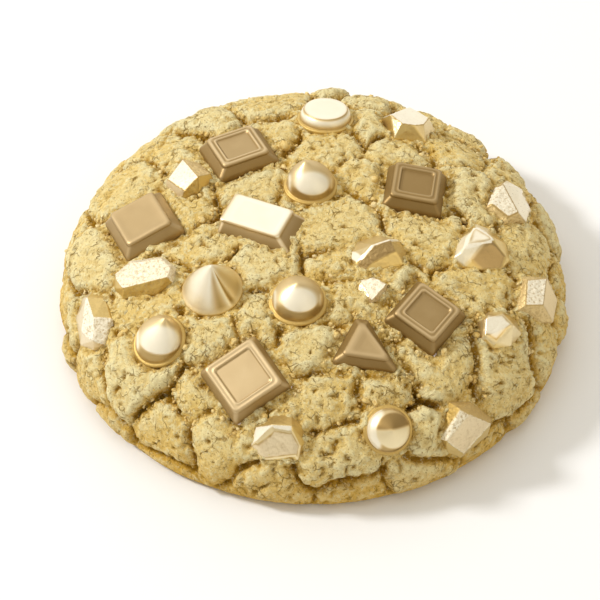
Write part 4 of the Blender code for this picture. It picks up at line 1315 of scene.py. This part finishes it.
def golden_chocolate(name, gloss, metallic):
    """Golden chocolate whose tone runs from bronze to cream, yellow where it is gilt and rough
    where it is broken, and darker in the low spots of the broken grain as painted shade.  The
    tone and gilt carry each piece's painted light, shade and reflections as well as its own
    colour.  The higher its gloss, the smoother."""
    finish = Finish(name)
    tone = finish.attribute("tone")
    gilt = finish.attribute("gilt")
    grain = finish.attribute("grain")
    speckle = finish.cloud(0.5, 4.0, 0.6)
    mottle = finish.cloud(3.0, 2.0)
    tone = tone + (mottle - 0.5) * 0.06
    colour = finish.ramp(tone, (0.0, (0.21, 0.12, 0.02)), (0.2, (0.33, 0.22, 0.085)),
                         (0.42, (0.54, 0.40, 0.21)), (0.65, (0.72, 0.58, 0.36)),
                         (0.85, (0.84, 0.75, 0.55)), (1.0, (0.90, 0.86, 0.73)))
    golden = finish.ramp(tone, (0.0, (0.30, 0.17, 0.03)), (0.5, (0.64, 0.45, 0.13)),
                         (1.0, (0.93, 0.80, 0.46)))
    colour = finish.tint(gilt, colour, golden)
    # Painted shade in the low spots of the broken grain
    colour = finish.tint(grain * (1.0 - speckle.held(0.34, 0.5)) * 0.85, colour,
                         (0.45, 0.31, 0.12))
    roughness = grain * 0.25 + (speckle - 0.5) * 0.06 + (0.55 - 0.35 * gloss)
    metal = metallic - grain * 0.4 - tone.held(0.8, 0.98) * (1.0 - gilt) * 0.55
    finish.surface(Base_Color=colour, Roughness=roughness, Metallic=metal)
    finish.surface(Normal=finish.bump(speckle * (0.04 + grain), 0.25))
    return finish.material


def melted_glaze():
    """Thin melted pool, glossy and almost white."""
    finish = Finish("melted_glaze")
    ripple = finish.cloud(1.2, 2.0)
    colour = finish.ramp(ripple, (0.35, (0.62, 0.50, 0.40)), (0.65, (0.90, 0.84, 0.88)))
    finish.surface(Base_Color=colour, Roughness=0.14, Metallic=0.7)
    finish.surface(Normal=finish.bump(ripple, 0.3))
    return finish.material


def loose_crumb():
    """The dough's colours on loose crumbs, which carry no relief, darker in the low spots of
    their bump as painted shade.
    """
    finish = Finish("loose_crumb")
    grain = finish.cloud(0.7, 4.0, 0.65)
    patches = finish.cloud(2.0, 2.0)
    base = finish.ramp(patches, (0.3, (0.74, 0.50, 0.14)), (0.5, (0.84, 0.64, 0.26)),
                       (0.7, (0.94, 0.80, 0.46)))
    # Painted shade in the low spots of the bump
    base = finish.tint(1.0 - grain.held(0.3, 0.45), base, (0.50, 0.29, 0.05))
    finish.surface(Base_Color=base, Roughness=0.6, Specular_IOR_Level=0.25)
    finish.surface(Normal=finish.bump(grain, 0.6))
    return finish.material


# ---------------------------------------------------------------- stage, lights and camera

def add_floor():
    """A plain pale floor."""
    finish = Finish("pale_floor")
    finish.surface(Base_Color=(0.86, 0.88, 0.92), Roughness=0.9)
    corners = lifted(oblong(FLOOR_SIDE / MM, FLOOR_SIDE / MM), 0.0)
    mesh = make_mesh("floor", corners, np.arange(4).reshape(1, 4))
    mesh.materials.append(finish.material)
    floor = add_object("floor", mesh)


def add_softbox(name, place, width, height, radiance, colour):
    """A rectangular light that faces the cookie; its power follows from its radiance."""
    light = bpy.data.lights.new(name, "AREA")
    light.shape = "RECTANGLE"
    light.size = width
    light.size_y = height
    light.color = colour
    light.energy = math.pi * width * height * radiance
    box = add_object(name, light)
    box.location = place
    box.rotation_euler = (-Vector(place)).to_track_quat("-Z", "Y").to_euler()


def add_lights():
    """A small key from the left, a wide card behind, one above and a golden one at the front
    right, in a dim warm world."""
    add_softbox("key", (-0.95, 0.15, 0.8), 0.2, 0.2, 84.0, WARM_WHITE)
    add_softbox("back_card", (0.0, 1.3, 0.75), 2.6, 1.3, 0.5, WARM_WHITE)
    add_softbox("top_card", (-0.2, 0.1, 1.3), 1.3, 1.3, 0.65, (1.0, 0.98, 0.94))
    add_softbox("front_card", (0.9, -0.7, 0.7), 1.0, 1.0, 0.8, (1.0, 0.88, 0.66))
    world = bpy.data.worlds.new("studio")
    world.use_nodes = True
    background = world.node_tree.nodes["Background"]
    background.inputs["Color"].default_value = WORLD_COLOUR
    background.inputs["Strength"].default_value = WORLD_STRENGTH
    bpy.context.scene.world = world


def add_camera():
    """Long lens from the front, looking down at the cookie."""
    lens = bpy.data.cameras.new("camera")
    lens.lens = CAMERA_LENS
    lens.sensor_width = CAMERA_SENSOR
    camera = add_object("camera", lens)
    camera.location = CAMERA_PLACE
    camera.rotation_euler = (math.radians(CAMERA_TILT), 0.0, 0.0)
    bpy.context.scene.camera = camera


def main():
    """Build the cookie, its stage and its camera."""
    seats = make_seats()
    crags = Crags(list(seats.values()))
    rng = np.random.default_rng(SEED + 1)
    tables = [make_noise_table(rng) for _ in range(5)]
    add_piece("dough_crust", dough_mesh(crags), baked_dough(), "crust", "dough")
    add_tablets(seats, tables, golden_chocolate("satin_chocolate", 0.25, 0.6))
    add_drops(seats, tables, golden_chocolate("polished_chocolate", 0.3, 0.85))
    add_chunks(seats, tables, golden_chocolate("broken_chocolate", 0.8, 0.85))
    add_piece("crumbs", crumb_mesh(crags, rng), loose_crumb(), "crust")
    add_pools(seats, tables, melted_glaze())
    add_floor()
    add_lights()
    add_camera()
    bpy.context.scene.view_settings.view_transform = "Standard"


main()
